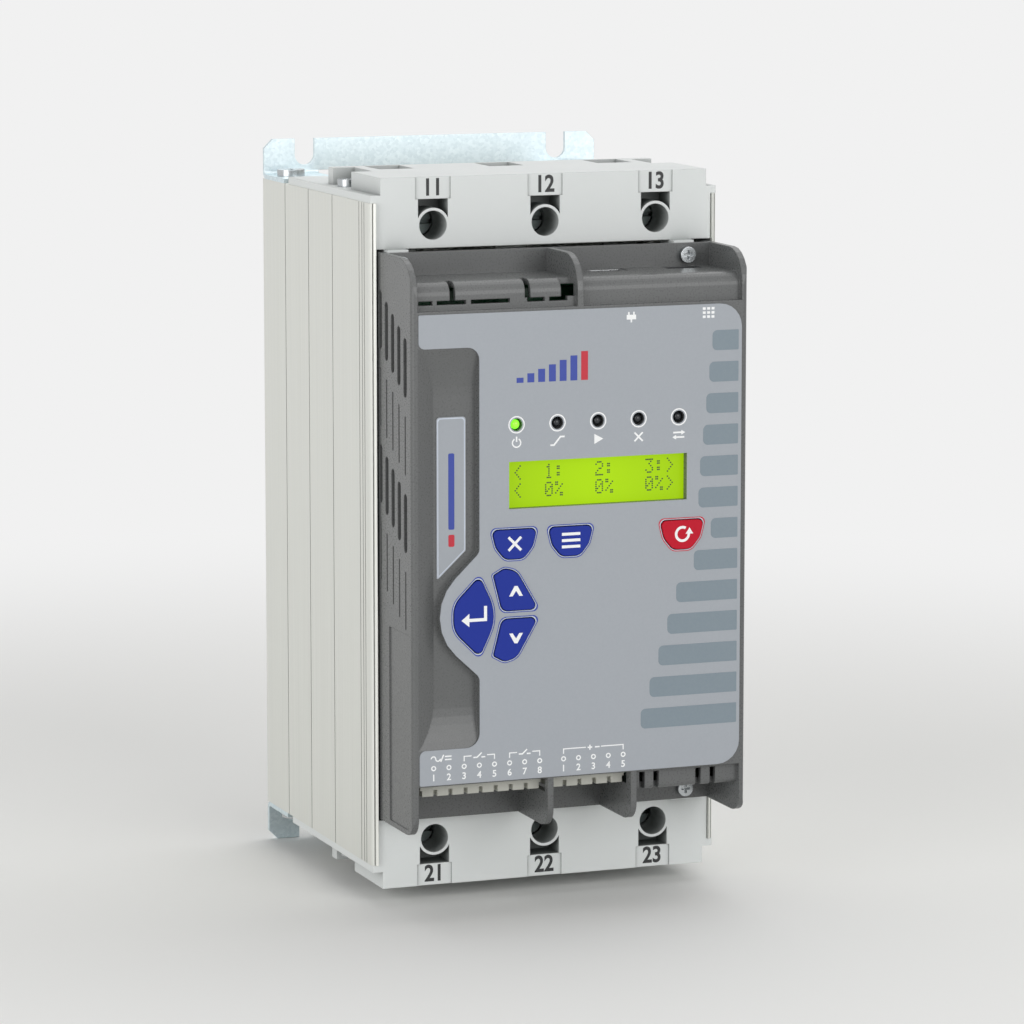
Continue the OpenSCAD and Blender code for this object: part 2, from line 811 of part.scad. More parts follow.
// The control board carries the connector strip that the display board sits on
module control_board() {
    strip_in = 8;
    strip_z = 30;
    strip_h = 6;
    color(board_colour) {
        block(-board_half, board_half, control_back, control_front, -panel_end - block_drop, control_end);
        block(-board_half + strip_in, board_half - strip_in, control_front - eps, display_back,
              strip_z, strip_z + strip_h);
    }
}

module display_board() {
    side = 3;
    end = 4;
    color(board_colour) block(post_at[0].x - side, post_at[1].x + side, display_back, display_front,
                              post_at[2].y - end, post_at[0].y + end);
}

// Front cover

function recess_outline(left) = [
    [left, recess_bottom], [recess_x, recess_bottom], [recess_x, bulge_bottom],
    [bulge_x, keypad_z], [recess_x, bulge_top], [recess_x, recess_top], [left, recess_top]];
recess_radii = [0, 4.5, 3, bulge_r, 3, 4, 0];
film_left = -panel_half + contact_gap;
film_right = panel_half - contact_gap;
film_high = panel_end - film_margin;
film_bottom = film_low - panel_end;
film_outline = [
    [film_left, film_bottom], [film_right, film_bottom], [film_right, film_high], [film_left, film_high],
    [film_left, recess_top], [recess_x, recess_top], [recess_x, bulge_top], [bulge_x, keypad_z],
    [recess_x, bulge_bottom], [recess_x, recess_bottom], [film_left, recess_bottom]];
film_radii = [0.5, film_r, film_r, 0.5, 2, 4, 3, bulge_r, 3, 4.5, 2];

// Side profile of the walls: rounded corners at the front
module flap_profile() {
    back_r = 0.8;
    polygon(rounded([[-flap_back, cover_end], [-flap_back, -cover_end],
                     [-cover_d, -cover_end], [-cover_d, cover_end]], [back_r, back_r, tip_r, flap_r]));
}

// Plan of the cover with its rounded outer edges
module cover_plan() {
    polygon(rounded([[-cover_half, -cover_d], [cover_half, -cover_d], [cover_half, 0], [-cover_half, 0]],
                    [cover_edge_r, cover_edge_r, 0, 0]));
}

module upper_rib_profile() {
    intersection() {
        flap_profile();
        polygon([[-cover_back, bay_floor - wall_t], [-panel_back, bay_floor - wall_t],
                 [-panel_back, panel_end - cut], [-cover_d, panel_end - cut],
                 [-cover_d, cover_end], [-cover_back, cover_end]]);
    }
}

module lower_rib_profile() {
    clear = -panel_end - block_drop - 2 * seat_gap;
    intersection() {
        flap_profile();
        polygon([[-cover_back, clear], [-cover_back, -cover_end], [-cover_d, -cover_end],
                 [-cover_d, -panel_end + cut], [-panel_back, -panel_end + cut], [-panel_back, clear]]);
    }
}

// Bar with a rounded front edge and the floor behind it, for the upper bay
module bar_profile(floor, edge_r) {
    difference() {
        polygon(concat(
            [[-cover_back, floor]],
            corner_arc([-cover_back, floor], [-bar_face, floor], [-bar_face, 0], edge_r),
            [[-bar_face, panel_end - cut], [-cover_back, panel_end - cut]]));
        translate([-bar_face + wall_t, 0]) square([bar_face, floor - wall_t]);
    }
}

// The back wall of the upper bays, from below their floor to the end of the cover
module bay_back(floor) {
    block(-panel_half - eps, panel_half + eps, cover_back, cover_back + wall_t, floor - wall_t, cover_end);
}

module cover_shell() {
    lower_edge_r = wall_t * 0.75;
    intersection() {
        both_sides() along_x(panel_half, cover_half) flap_profile();
        along_z(-cover_end, cover_end) cover_plan();
    }
    block(-panel_half - eps, panel_half + eps, panel_back, cover_d, -panel_end, panel_end);
    along_x(-panel_half - eps, panel_half + eps) bar_profile(bay_floor, bar_edge_r);
    bay_back(bay_floor);
    along_x(rib_x - wall_t / 2, rib_x + wall_t / 2) upper_rib_profile();
    for (x = [lower_rib_1, lower_rib_2]) along_x(x, x + wall_t) lower_rib_profile();
    mirror([0, 0, 1]) {
        along_x(lower_rib_2, panel_half + eps) bar_profile(lower_floor, lower_edge_r);
        bay_back(lower_floor);
    }
    recess_backing();
    for (p = post_at) rod_y(p.x, p.y, post_d, display_front, panel_back + eps);
}

module recess_backing() {
    along_y(cover_d - recess_d - backing_t, panel_back + eps) intersection() {
        polygon(rounded(outset(recess_outline(-panel_half), backing_t), recess_radii));
        translate([-panel_half - eps, recess_bottom - backing_t])
            square([panel_half, recess_top - recess_bottom + 2 * backing_t]);
    }
}

// The recess deepens from its left wall and from both ends
module recess_cut() {
    front = cover_d + cut;
    floor_d = cover_d - recess_d;
    r = (recess_scoop * recess_scoop + recess_d * recess_d) / (2 * recess_d);
    span = asin(recess_scoop / r);
    high = [for (k = [0:arc_steps]) let (a = span * k / arc_steps)
        [-floor_d - r + r * cos(a), recess_top - recess_scoop + r * sin(a)]];
    low = [for (k = [0:arc_steps]) let (a = span * (1 - k / arc_steps))
        [-floor_d - r + r * cos(a), recess_bottom + recess_scoop - r * sin(a)]];
    intersection() {
        along_y(floor_d - cut, front) polygon(rounded(recess_outline(-panel_half), recess_radii));
        along_x(-panel_half - eps, 0)
            polygon(concat([[-front, recess_bottom]], low, high, [[-front, recess_top]]));
        along_z(recess_bottom - cut, recess_top + cut)
            polygon([[-panel_half, -front], [0, -front], [0, -floor_d],
                     [-panel_half + recess_ramp, -floor_d], [-panel_half, -cover_d]]);
    }
}

// Places of the stepped slots: first slot from the back, number in a group, and rise of the first
vent_back = 7.1;
vent_count = 5;
vent_rise = 4.3;
vent_top = panel_end + vent_rise;
vent_outside = -cover_half - cut;

// One group of stepped slots in the left wall, cut inwards to a side position
module vent_slots(top, w, inside) {
    for (i = [0:vent_count - 1])
        along_x(vent_outside, inside)
            translate([-flap_back - vent_back - i * vent_pitch, top - vent_l / 2 - i * vent_drop])
                slot_outline(w, vent_l);
}

// Open groups take turns with groups of shallow, narrow grooves
module vent_cuts() {
    groove_d = 0.6;
    for (g = [0, 2]) vent_slots(vent_top - g * vent_group, vent_w, -panel_half + cut);
    for (g = [1, 3]) vent_slots(vent_top - g * vent_group, vent_w / 3, -cover_half + groove_d);
}

// The sunk panel under the lowest grooves, with the shape of the wall's lower front corner
module flap_panel_cut() {
    panel_in = 6.5;
    panel_gap = 1.3;
    corner_r = 0.6;
    back = cover_back + panel_in;
    front = cover_d - cover_edge_r;
    low = -cover_end + cover_edge_r;
    top = vent_top - 3 * vent_group - vent_l - (vent_count - 1) * vent_drop - panel_gap;
    along_x(vent_outside, -cover_half + flap_sink)
        polygon(rounded([[-back, top], [-back, low], [-front, low], [-front, top]],
                        [corner_r, corner_r, tip_r - cover_edge_r, corner_r]));
}

module upper_bar_cuts() {
    slot_reach = 6.5;
    hook_reach = 3;
    low = panel_end + window_high;
    for (x = bar_slots)
        block(-panel_half + x - bar_slot_w / 2, -panel_half + x + bar_slot_w / 2,
              bar_face - slot_reach, bar_face + cut, low, bay_floor + cut);
    for (w = bar_windows)
        block(-panel_half + w[0], -panel_half + w[1], bar_face - wall_t - cut, bar_face + cut,
              panel_end + window_low, low);
    block(rib_x - bar_hook, rib_x - wall_t / 2, bar_face - hook_reach, bar_face + cut, low, bay_floor + cut);
    port_cut(data_port_x, data_port_w);
    port_cut(socket_x, socket_w);
}

module port_cut(x, w) {
    block(x - w / 2 - seat_gap, x + w / 2 + seat_gap, control_back - port_d - seat_gap, control_back,
          bay_floor - wall_t - cut, bay_floor + cut);
}

module lower_bar_cuts() {
    slot_end = 0.8;
    for (x = concat([for (s = rib_slots) lower_rib_2 + s], [for (s = wall_slots) panel_half - s]))
        block(x - bar_slot_w / 2, x + bar_slot_w / 2, bar_face - wall_t - cut, bar_face + cut,
              -lower_floor - cut, -panel_end - slot_end);
}

module key_hole(outline, radii) {
    along_y(panel_back - cut, film_front + cut) polygon(rounded(outset(outline, key_gap - ring_w), radii));
}

module panel_openings() {
    along_y(panel_back - cut, film_front + cut) {
        translate(window_at) square([window_w, window_h], center = true);
        for (i = [0:light_count - 1])
            translate(lights_at + [(i - (light_count - 1) / 2) * light_pitch, 0]) circle(d = light_hole_d);
    }
    for (at = [back_key_at, menu_key_at, reset_key_at]) key_hole(moved(shield_outline, at), shield_radii);
    key_hole(enter_shape, enter_radii);
    key_hole(up_shape, arrow_radii);
    key_hole(down_shape, reversed(arrow_radii));
}

enter_shape = moved(enter_outline, [0, keypad_z]);
up_shape = moved(arrow_outline, [0, keypad_z]);
down_shape = moved(mirrored(arrow_outline), [0, keypad_z]);

module front_cover() {
    color(cover_colour) difference() {
        cover_shell();
        recess_cut();
        both_sides() {
            vent_cuts();
            flap_panel_cut();
        }
        upper_bar_cuts();
        lower_bar_cuts();
        panel_openings();
        both_ends() for (x = cover_screw_xs)
            rod_y(x, cover_screw_z, cover_screw[2] + 2 * contact_gap, cover_back - cut,
                  cover_back + wall_t + cut);
    }
}

module cover_screws() {
    seat = cover_back + wall_t;
    top = seat + cover_screw[1];
    color(steel_colour) both_ends() for (x = cover_screw_xs) difference() {
        union() {
            rod_y(x, cover_screw_z, cover_screw[0], seat, top);
            rod_y(x, cover_screw_z, cover_screw[2], cover_back - pilot_l + cut, seat + eps);
        }
        translate([x, -top, cover_screw_z]) rotate([90, 0, 0]) cross_recess(cover_screw);
    }
}

// Keypad film and display

module keypad_film() {
    color(film_colour) difference() {
        along_y(cover_d, film_front) polygon(rounded(film_outline, film_radii));
        panel_openings();
    }
}

module side_label() {
    floor_d = cover_d - recess_d;
    margin_left = 1;
    margin_right = 3.5;
    margin_top = 6.8;
    left = -panel_half + recess_ramp + margin_left;
    right = recess_x - margin_right;
    top = recess_top - recess_scoop - margin_top;
    label_rise = 12.2;
    bottom = keypad_z + label_rise;
    slant = 8.5;
    tip = 0.6;
    color(film_colour) along_y(floor_d, floor_d + film_t)
        polygon(rounded([[left, bottom], [left + tip, bottom], [right, bottom + slant],
                         [right, top], [left, top]], [0, 0, 1, 1, 1]));
}

// A block behind the display window that is larger than the window on all sides
module behind_window(side, end, from, to) {
    block(window_at.x - window_w / 2 - side, window_at.x + window_w / 2 + side, from, to,
          window_at.y - window_h / 2 - end, window_at.y + window_h / 2 + end);
}

module display_glass() {
    side = 2;
    end = 1.5;
    color("#c4f000") behind_window(side, end, glass_back, glass_front);
}

module display_module() {
    side = 4;
    end = 3;
    color(dark_colour) behind_window(side, end, display_front, glass_back);
}

module indicator_lights() {
    lens_d = 3;
    collar_d = 5;
    color("#dfe6d8") for (i = [0:light_count - 1])
        translate([lights_at.x + (i - (light_count - 1) / 2) * light_pitch, 0, lights_at.y]) {
            rod_y(0, 0, collar_d, display_front, glass_front);
            rod_y(0, 0, lens_d, glass_front - eps, cover_d - lens_d / 2);
            translate([0, -cover_d + lens_d / 2, 0]) sphere(d = lens_d);
        }
}

// Keys: a cap in the panel, a flange behind it and a stem to its switch

function stem_at(name) =
    name == "back" ? back_key_at : name == "menu" ? menu_key_at : name == "reset" ? reset_key_at :
    name == "enter" ? [enter_x, keypad_z] : [arrow_x, keypad_z + (name == "up" ? arrow_z : -arrow_z)];
enter_x = -36;
arrow_x = -22.5;
arrow_z = 7;
KEYS = ["back", "menu", "reset", "enter", "up", "down"];
key_round = 0.9;

module key_solid(name, outline, radii, colour) {
    at = stem_at(name);
    color(colour) {
        along_y(key_flange_front - eps, key_front)
            polygon(rounded(outset(outline, -ring_w), radii * key_round));
        along_y(key_flange_back, key_flange_front) polygon(rounded(outset(outline, contact_gap), radii));
        rod_y(at.x, at.y, stem_d, stem_end, key_flange_back + eps);
    }
}

module back_key() {
    key_solid("back", moved(shield_outline, back_key_at), shield_radii, "#293c96");
}

module menu_key() {
    key_solid("menu", moved(shield_outline, menu_key_at), shield_radii, "#293c96");
}

module reset_key() {
    key_solid("reset", moved(shield_outline, reset_key_at), shield_radii, "#be142d");
}

module enter_key() {
    key_solid("enter", enter_shape, enter_radii, "#293c96");
}

module up_key() {
    key_solid("up", up_shape, arrow_radii, "#293c96");
}

module down_key() {
    key_solid("down", down_shape, reversed(arrow_radii), "#293c96");
}

module key_switches() {
    size = 6;
    base = 0.8;
    color(dark_colour) for (name = KEYS) difference() {
        block(stem_at(name).x - size / 2, stem_at(name).x + size / 2, display_front, switch_front,
              stem_at(name).y - size / 2, stem_at(name).y + size / 2);
        rod_y(stem_at(name).x, stem_at(name).y, stem_d + 2 * key_gap, display_front + base,
              switch_front + cut);
    }
}

// Control terminals and ports

// Cuts of the terminals: notches between them in the front edge, the wire entry and the screw hole
notch = [1.3, 2.5, 2];
entry = [3.4, 3.2, 8];
entry_in = 3;
terminal_screw_d = 3;
terminal_hole_d = terminal_screw_d + 2 * contact_gap;
terminal_hole_l = 5;
terminal_screw_l = 2.6;
terminal_slot = 0.6;
block_low = -panel_end - block_drop;
terminal_screw_depth = control_front + terminal_hole_d;

module terminal_block(b) {
    color(housing_colour) difference() {
        block(b[0] - terminal_pitch / 2, block_right(b), control_front, block_front,
              block_low, block_low + block_h);
        for (i = [0:b[1]]) translate([b[0] + (i - 0.5) * terminal_pitch, 0, 0])
            block(-notch.x / 2, notch.x / 2, block_front - notch.y, block_front + cut,
                  block_low - cut, block_low + notch.z);
        for (i = [0:b[1] - 1]) translate([b[0] + i * terminal_pitch, 0, 0]) {
            block(-entry.x / 2, entry.x / 2, block_front - entry_in - entry.y, block_front - entry_in,
                  block_low - cut, block_low + entry.z);
            rod_z(0, terminal_screw_depth, terminal_hole_d, block_low - cut, block_low + terminal_hole_l);
        }
    }
}

module relay_terminal_block() {
    terminal_block(relay_block);
}

module input_terminal_block() {
    terminal_block(input_block);
}

module terminal_block_screws() {
    low = block_low + terminal_hole_l - terminal_screw_l;
    color(steel_colour) for (b = [relay_block, input_block], i = [0:b[1] - 1])
        translate([b[0] + i * terminal_pitch, 0, 0]) difference() {
            rod_z(0, terminal_screw_depth, terminal_screw_d, low, block_low + terminal_hole_l);
            block(-terminal_screw_d, terminal_screw_d, terminal_screw_depth - terminal_slot / 2,
                  terminal_screw_depth + terminal_slot / 2, low - cut, low + terminal_slot);
        }
}

module port(x, w, colour) {
    top = bay_floor - contact_gap;
    color(colour) difference() {
        block(x - w / 2, x + w / 2, control_back - port_d, control_back, top - port_l, top);
        block(x - w / 2 + port_wall, x + w / 2 - port_wall, control_back - port_d + port_wall,
              control_back - port_wall, top - mouth_l, top + cut);
    }
}

module data_port() {
    port(data_port_x, data_port_w, steel_colour);
}

module keypad_socket() {
    port(socket_x, socket_w, dark_colour);
}

heat_sink();
upper_bracket();
lower_bracket();
bracket_screws();
line_terminal_housing();
load_terminal_housing();
housing_screws();
module_screws();
busbar_screws();
for (i = POLES) translate([pole_x(i), 0, 0]) {
    thyristor_module();
    busbar();
    mirror([0, 0, 1]) busbar();
    clamp_cage();
    mirror([0, 0, 1]) clamp_cage();
    clamp_screw();
    mirror([0, 0, 1]) clamp_screw();
    current_transformer();
    bypass_relay();
}
power_board();
board_spacers();
control_board();
front_cover();
cover_screws();
keypad_film();
side_label();
display_module();
display_glass();
display_board();
indicator_lights();
key_switches();
back_key();
menu_key();
reset_key();
enter_key();
up_key();
down_key();
relay_terminal_block();
input_terminal_block();
terminal_block_screws();
data_port();
keypad_socket();
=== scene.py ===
"""Looks of a three-phase soft starter: finishes, printed marks and a plain studio around the
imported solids. Lengths are written in millimetres and turned to metres by MM. Only the studio
is given in metres."""
import math

import bpy
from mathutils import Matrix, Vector


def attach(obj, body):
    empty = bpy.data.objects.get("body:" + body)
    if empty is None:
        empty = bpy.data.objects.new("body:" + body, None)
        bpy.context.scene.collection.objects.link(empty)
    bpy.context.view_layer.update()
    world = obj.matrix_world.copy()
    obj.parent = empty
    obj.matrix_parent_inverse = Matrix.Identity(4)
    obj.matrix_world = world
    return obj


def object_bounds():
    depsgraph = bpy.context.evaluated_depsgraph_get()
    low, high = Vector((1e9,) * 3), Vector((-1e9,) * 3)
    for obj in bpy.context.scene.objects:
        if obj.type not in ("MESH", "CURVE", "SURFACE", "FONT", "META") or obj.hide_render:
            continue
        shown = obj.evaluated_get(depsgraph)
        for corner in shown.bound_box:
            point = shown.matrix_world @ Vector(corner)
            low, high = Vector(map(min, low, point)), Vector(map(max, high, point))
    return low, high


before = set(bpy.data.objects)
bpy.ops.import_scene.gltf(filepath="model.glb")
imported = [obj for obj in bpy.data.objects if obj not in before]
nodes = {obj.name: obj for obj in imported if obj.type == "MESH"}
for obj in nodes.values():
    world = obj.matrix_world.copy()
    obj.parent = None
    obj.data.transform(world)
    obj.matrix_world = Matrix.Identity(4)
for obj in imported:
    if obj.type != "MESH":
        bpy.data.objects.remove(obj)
cad_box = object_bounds()
MM = 0.001
BODY = "starter"

# Camera at the photograph's viewing angle, fitted to points on the object
CAMERA_AZIMUTH = 20.796
CAMERA_ELEVATION = 8.487
CAMERA_DISTANCE = 1556.43
CAMERA_TARGET = (1.275, -75.0, 0.573)
CAMERA_LENS = 167.24
CAMERA_SENSOR = 36

# Studio in metres. Each lamp has its place, its width and its power in watts.
LAMPS = {
    "top_box": ((0.5, 0.35, 1.45), 2.0, 13.6),
    "left_box": ((-1.5, -0.9, 0.4), 1.2, 13),
    "front_box": ((0.5, -1.9, 0.6), 1.2, 11),
}
LAMP_AIM = (0, -0.06, 0)
FLOOR_SIZE = 60
FLOOR_GAP = 0.0002
FADE_START, FADE_END = 0.18, 0.68
CAMERA_REACH = 100

# Strength of the world as light, and as the background that is seen
WORLD_LIGHT = 0.42
WORLD_SEEN = 0.95

# Places that part.scad gives to the front of the unit
FILM_FRONT = 140.3
KEY_FRONT = 140.9
GLASS_FRONT = 137.3
LABEL_FRONT = 137.3
HOUSE_LABEL_FRONT = 107.6
HOUSE_LABEL_Z = 110.3
POLES = (-37.85, 0.0, 37.85)
LIGHTS_Z = 38.4
LIGHTS_X = (-22.0, -8.3, 5.4, 19.1, 32.8)
DISPLAY_X, DISPLAY_Z = 5.6, 19.35
TERMINAL_PITCH = 5.08
RELAY_FIRST, RELAY_COUNT = -49.74, 8
INPUT_FIRST, INPUT_COUNT = -6.1, 5
RELAY_X = [RELAY_FIRST + i * TERMINAL_PITCH for i in range(RELAY_COUNT)]
INPUT_X = [INPUT_FIRST + i * TERMINAL_PITCH for i in range(INPUT_COUNT)]
LABEL = [(-47.5, -9.3), (-46.9, -9.3), (-37.8, -0.8), (-37.8, 41.4), (-47.5, 41.4)]
LABEL_RADII = (0.1, 0.1, 1, 1, 1)

# Thickness of all print
PRINT = 0.04

# Steps of a rounded corner, a part of a ring, a small circle and a large one
CORNER_STEPS = 8
ARC_STEPS = 20
SMALL_STEPS = 20
LARGE_STEPS = 40


# Camera and lamps

def studio_camera():
    data = bpy.data.cameras.new("studio_camera")
    data.lens = CAMERA_LENS
    data.sensor_width = CAMERA_SENSOR
    data.clip_end = CAMERA_REACH
    camera = bpy.data.objects.new("studio_camera", data)
    bpy.context.scene.collection.objects.link(camera)
    turn, rise = math.radians(CAMERA_AZIMUTH), math.radians(CAMERA_ELEVATION)
    back = Vector((-math.sin(turn) * math.cos(rise), -math.cos(turn) * math.cos(rise),
                   math.sin(rise)))
    camera.location = (Vector(CAMERA_TARGET) + back * CAMERA_DISTANCE) * MM
    camera.rotation_euler = (-back).to_track_quat("-Z", "Y").to_euler()
    bpy.context.scene.camera = camera


def soft_box(name, place, size, power):
    data = bpy.data.lights.new(name, "AREA")
    data.shape = "SQUARE"
    data.size = size
    data.energy = power
    lamp = bpy.data.objects.new(name, data)
    bpy.context.scene.collection.objects.link(lamp)
    lamp.location = place
    ahead = Vector(LAMP_AIM) - Vector(place)
    lamp.rotation_euler = ahead.to_track_quat("-Z", "Y").to_euler()


# Materials

# Sockets of a Mix node that mixes colours: its inputs, and its output
SHARE, FIRST, SECOND = 0, 6, 7
MIXED = 2


def linear(code):
    """A colour written as sRGB hex, as the linear values that Blender takes."""
    parts = [int(code[i:i + 2], 16) / 255 for i in (1, 3, 5)]
    levels = [c / 12.92 if c <= 0.04045 else ((c + 0.055) / 1.055) ** 2.4 for c in parts]
    return (*levels, 1.0)


def fill(tree, node, inputs):
    """The inputs of a node, set to values or linked to sockets."""
    for name, value in inputs.items():
        if isinstance(value, bpy.types.NodeSocket):
            tree.links.new(value, node.inputs[name])
        else:
            node.inputs[name].default_value = value


def add(tree, kind, inputs=None, **settings):
    """One node with its settings, and with its inputs filled."""
    made = tree.nodes.new(kind)
    for name, value in settings.items():
        setattr(made, name, value)
    fill(tree, made, inputs or {})
    return made


def new_finish(name):
    """An empty material: the material, its tree, its shader and its object coordinates."""
    made = bpy.data.materials.new(name)
    made.use_nodes = True
    tree = made.node_tree
    place = add(tree, "ShaderNodeTexCoord").outputs["Object"]
    return made, tree, tree.nodes["Principled BSDF"], place


def shaded(tree, tone, painted_shade_colour, reach_mm):
    """The colour with painted shade: darker in the piece's own grooves and holes, where little
    light gets in."""
    # Painted shade: the share of open air around each point mixes the colour towards a dark shade
    # colour.
    air = add(tree, "ShaderNodeAmbientOcclusion", {"Distance": reach_mm * MM},
              samples=8, only_local=True)
    return add(tree, "ShaderNodeMix",
               {SHARE: air.outputs["AO"], FIRST: linear(painted_shade_colour), SECOND: tone},
               data_type="RGBA").outputs[MIXED]


def moulded_plastic(name, dark, light, grain_mm, depth_mm, roughness,
                    edge_mm=0.35, shine=0.5, painted_shade_colour=None):
    """Injection-moulded plastic from a spark-eroded tool: an even matt grain and slow, faint
    shading. The real grain is finer, and is drawn as coarse as it needs to show."""
    cloud_mm, painted_shade_reach_mm, spread = 30, 12, 0.06
    made, tree, shader, place = new_finish(name)
    cloud = add(tree, "ShaderNodeTexNoise",
                {"Vector": place, "Scale": 1 / (cloud_mm * MM), "Detail": 3.0})
    tone = add(tree, "ShaderNodeMix",
               {SHARE: cloud.outputs["Fac"], FIRST: linear(dark), SECOND: linear(light)},
               data_type="RGBA").outputs[MIXED]
    grain = add(tree, "ShaderNodeTexNoise",
                {"Vector": place, "Scale": 1 / (grain_mm * MM), "Detail": 2.0})
    edge = add(tree, "ShaderNodeBevel", {"Radius": edge_mm * MM}, samples=4)
    bump = add(tree, "ShaderNodeBump",
               {"Height": grain.outputs["Fac"], "Distance": depth_mm * MM, "Strength": 0.6,
                "Normal": edge.outputs["Normal"]})
    sheen = add(tree, "ShaderNodeMapRange",
                {"Value": grain.outputs["Fac"], "From Min": 0.3, "From Max": 0.7,
                 "To Min": roughness - spread, "To Max": roughness + spread})
    # When a shade colour is given, the colour is painted darker in the piece's own holes and
    # grooves: painted shade.
    fill(tree, shader, {
        "Base Color": shaded(tree, tone, painted_shade_colour, painted_shade_reach_mm) if painted_shade_colour else tone,
        "Roughness": sheen.outputs["Result"], "Normal": bump.outputs["Normal"],
        "IOR": 1.5, "Specular IOR Level": shine})
    return made


def extruded_aluminium():
    """Mill-finish extrusion: pale and satin, with die lines that run along the profile. The
    real lines are finer, and are drawn as coarse as they need to show."""
    line_mm, line_length_mm, groove_shade_reach_mm = 0.8, 120, 2.5
    made, tree, shader, place = new_finish("extruded_aluminium")
    across, along = 1 / (line_mm * MM), 1 / (line_length_mm * MM)
    drawn = add(tree, "ShaderNodeMapping", {"Vector": place, "Scale": (across, across, along)})
    lines = add(tree, "ShaderNodeTexNoise",
                {"Vector": drawn.outputs["Vector"], "Scale": 1.0, "Detail": 4.0})
    tone = add(tree, "ShaderNodeMix",
               {SHARE: lines.outputs["Fac"], FIRST: linear("#d7d8d2"), SECOND: linear("#e6e7e2")},
               data_type="RGBA").outputs[MIXED]
    sheen = add(tree, "ShaderNodeMapRange",
                {"Value": lines.outputs["Fac"], "To Min": 0.48, "To Max": 0.62})
    edge = add(tree, "ShaderNodeBevel", {"Radius": 0.2 * MM}, samples=4)
    bump = add(tree, "ShaderNodeBump",
               {"Height": lines.outputs["Fac"], "Distance": 0.03 * MM, "Strength": 0.4,
                "Normal": edge.outputs["Normal"]})
    # The colour is painted darker towards #45453f in the piece's own grooves: painted shade.
    fill(tree, shader, {
        "Base Color": shaded(tree, tone, "#45453f", groove_shade_reach_mm),
        "Roughness": sheen.outputs["Result"], "Normal": bump.outputs["Normal"],
        "Metallic": 0.75})
    return made


def galvanised_steel():
    """Hot-dip galvanised sheet: bluish zinc with a fine, faint spangle of flat crystals."""
    spangle_mm, scratch_mm = 0.9, 1.2
    made, tree, shader, place = new_finish("galvanised_steel")
    spangle = add(tree, "ShaderNodeTexVoronoi", {"Vector": place, "Scale": 1 / (spangle_mm * MM)})
    value = add(tree, "ShaderNodeSeparateColor", {"Color": spangle.outputs["Color"]})
    tone = add(tree, "ShaderNodeMix",
               {SHARE: value.outputs["Red"], FIRST: linear("#cfdde2"), SECOND: linear("#dfebef")},
               data_type="RGBA").outputs[MIXED]
    sheen = add(tree, "ShaderNodeMapRange",
                {"Value": value.outputs["Green"], "To Min": 0.36, "To Max": 0.44})
    scratch = add(tree, "ShaderNodeTexNoise",
                  {"Vector": place, "Scale": 1 / (scratch_mm * MM), "Detail": 3.0})
    edge = add(tree, "ShaderNodeBevel", {"Radius": 0.2 * MM}, samples=4)
    bump = add(tree, "ShaderNodeBump",
               {"Height": scratch.outputs["Fac"], "Distance": 0.02 * MM, "Strength": 0.4,
                "Normal": edge.outputs["Normal"]})
    fill(tree, shader, {
        "Base Color": tone, "Roughness": sheen.outputs["Result"],
        "Normal": bump.outputs["Normal"], "Metallic": 0.75})
    return made


def plated_metal(name, dark, light, roughness, wear_mm):
    """Plated or bare turned metal: bright, with a faint uneven sheen from handling."""
    smoother, rougher = 0.08, 0.12
    made, tree, shader, place = new_finish(name)
    wear = add(tree, "ShaderNodeTexNoise",
               {"Vector": place, "Scale": 1 / (wear_mm * MM), "Detail": 4.0})
    tone = add(tree, "ShaderNodeMix",
               {SHARE: wear.outputs["Fac"], FIRST: linear(dark), SECOND: linear(light)},
               data_type="RGBA").outputs[MIXED]
    sheen = add(tree, "ShaderNodeMapRange",
                {"Value": wear.outputs["Fac"], "To Min": roughness - smoother,
                 "To Max": roughness + rougher})
    edge = add(tree, "ShaderNodeBevel", {"Radius": 0.25 * MM}, samples=4)
    fill(tree, shader, {
        "Base Color": tone, "Roughness": sheen.outputs["Result"],
        "Normal": edge.outputs["Normal"], "Metallic": 1.0})
    return made


def printed_ink(name, dark, light, roughness):
    """Screen-printed ink or polyester film: flat colour with a faint mottle. The real mottle
    is finer, and is drawn as coarse as it needs to show."""
    mottle_mm = 0.7
    made, tree, shader, place = new_finish(name)
    mottle = add(tree, "ShaderNodeTexNoise",
                 {"Vector": place, "Scale": 1 / (mottle_mm * MM), "Detail": 2.0})
    tone = add(tree, "ShaderNodeMix",
               {SHARE: mottle.outputs["Fac"], FIRST: linear(dark), SECOND: linear(light)},
               data_type="RGBA").outputs[MIXED]
    bump = add(tree, "ShaderNodeBump",
               {"Height": mottle.outputs["Fac"], "Distance": 0.01 * MM, "Strength": 0.3})
    fill(tree, shader, {
        "Base Color": tone, "Normal": bump.outputs["Normal"], "Roughness": roughness,
        "IOR": 1.57})
    return made


def in_front(tree, place, depth):
    """1 where a piece is further forward than a depth in millimetres, and 0 behind it."""
    side = add(tree, "ShaderNodeSeparateXYZ", {"Vector": place})
    return add(tree, "ShaderNodeMath", {0: side.outputs["Y"], 1: -depth * MM},
               operation="LESS_THAN").outputs["Value"]


def backlit_display():
    """Backlit liquid-crystal panel: even yellow-green on its front, a little darker towards
    its ends. Its sides stay dark."""
    lit_depth, even_mm, end_mm = 0.2, 4, 32
    made, tree, shader, place = new_finish("backlit_liquid_crystal")
    middle = (DISPLAY_X * MM, -GLASS_FRONT * MM, DISPLAY_Z * MM)
    away = add(tree, "ShaderNodeVectorMath", {0: place, 1: middle}, operation="DISTANCE")
    glow = add(tree, "ShaderNodeMapRange",
               {"Value": away.outputs["Value"], "From Min": even_mm * MM,
                "From Max": end_mm * MM, "To Min": 0.66, "To Max": 0.54})
    front = in_front(tree, place, GLASS_FRONT - lit_depth)
    level = add(tree, "ShaderNodeMath", {0: glow.outputs["Result"], 1: front},
                operation="MULTIPLY")
    fill(tree, shader, {
        "Base Color": linear("#5a720a"), "Emission Color": linear("#bdf203"),
        "Emission Strength": level.outputs["Value"], "Roughness": 0.4,
        "Specular IOR Level": 0.15})
    return made


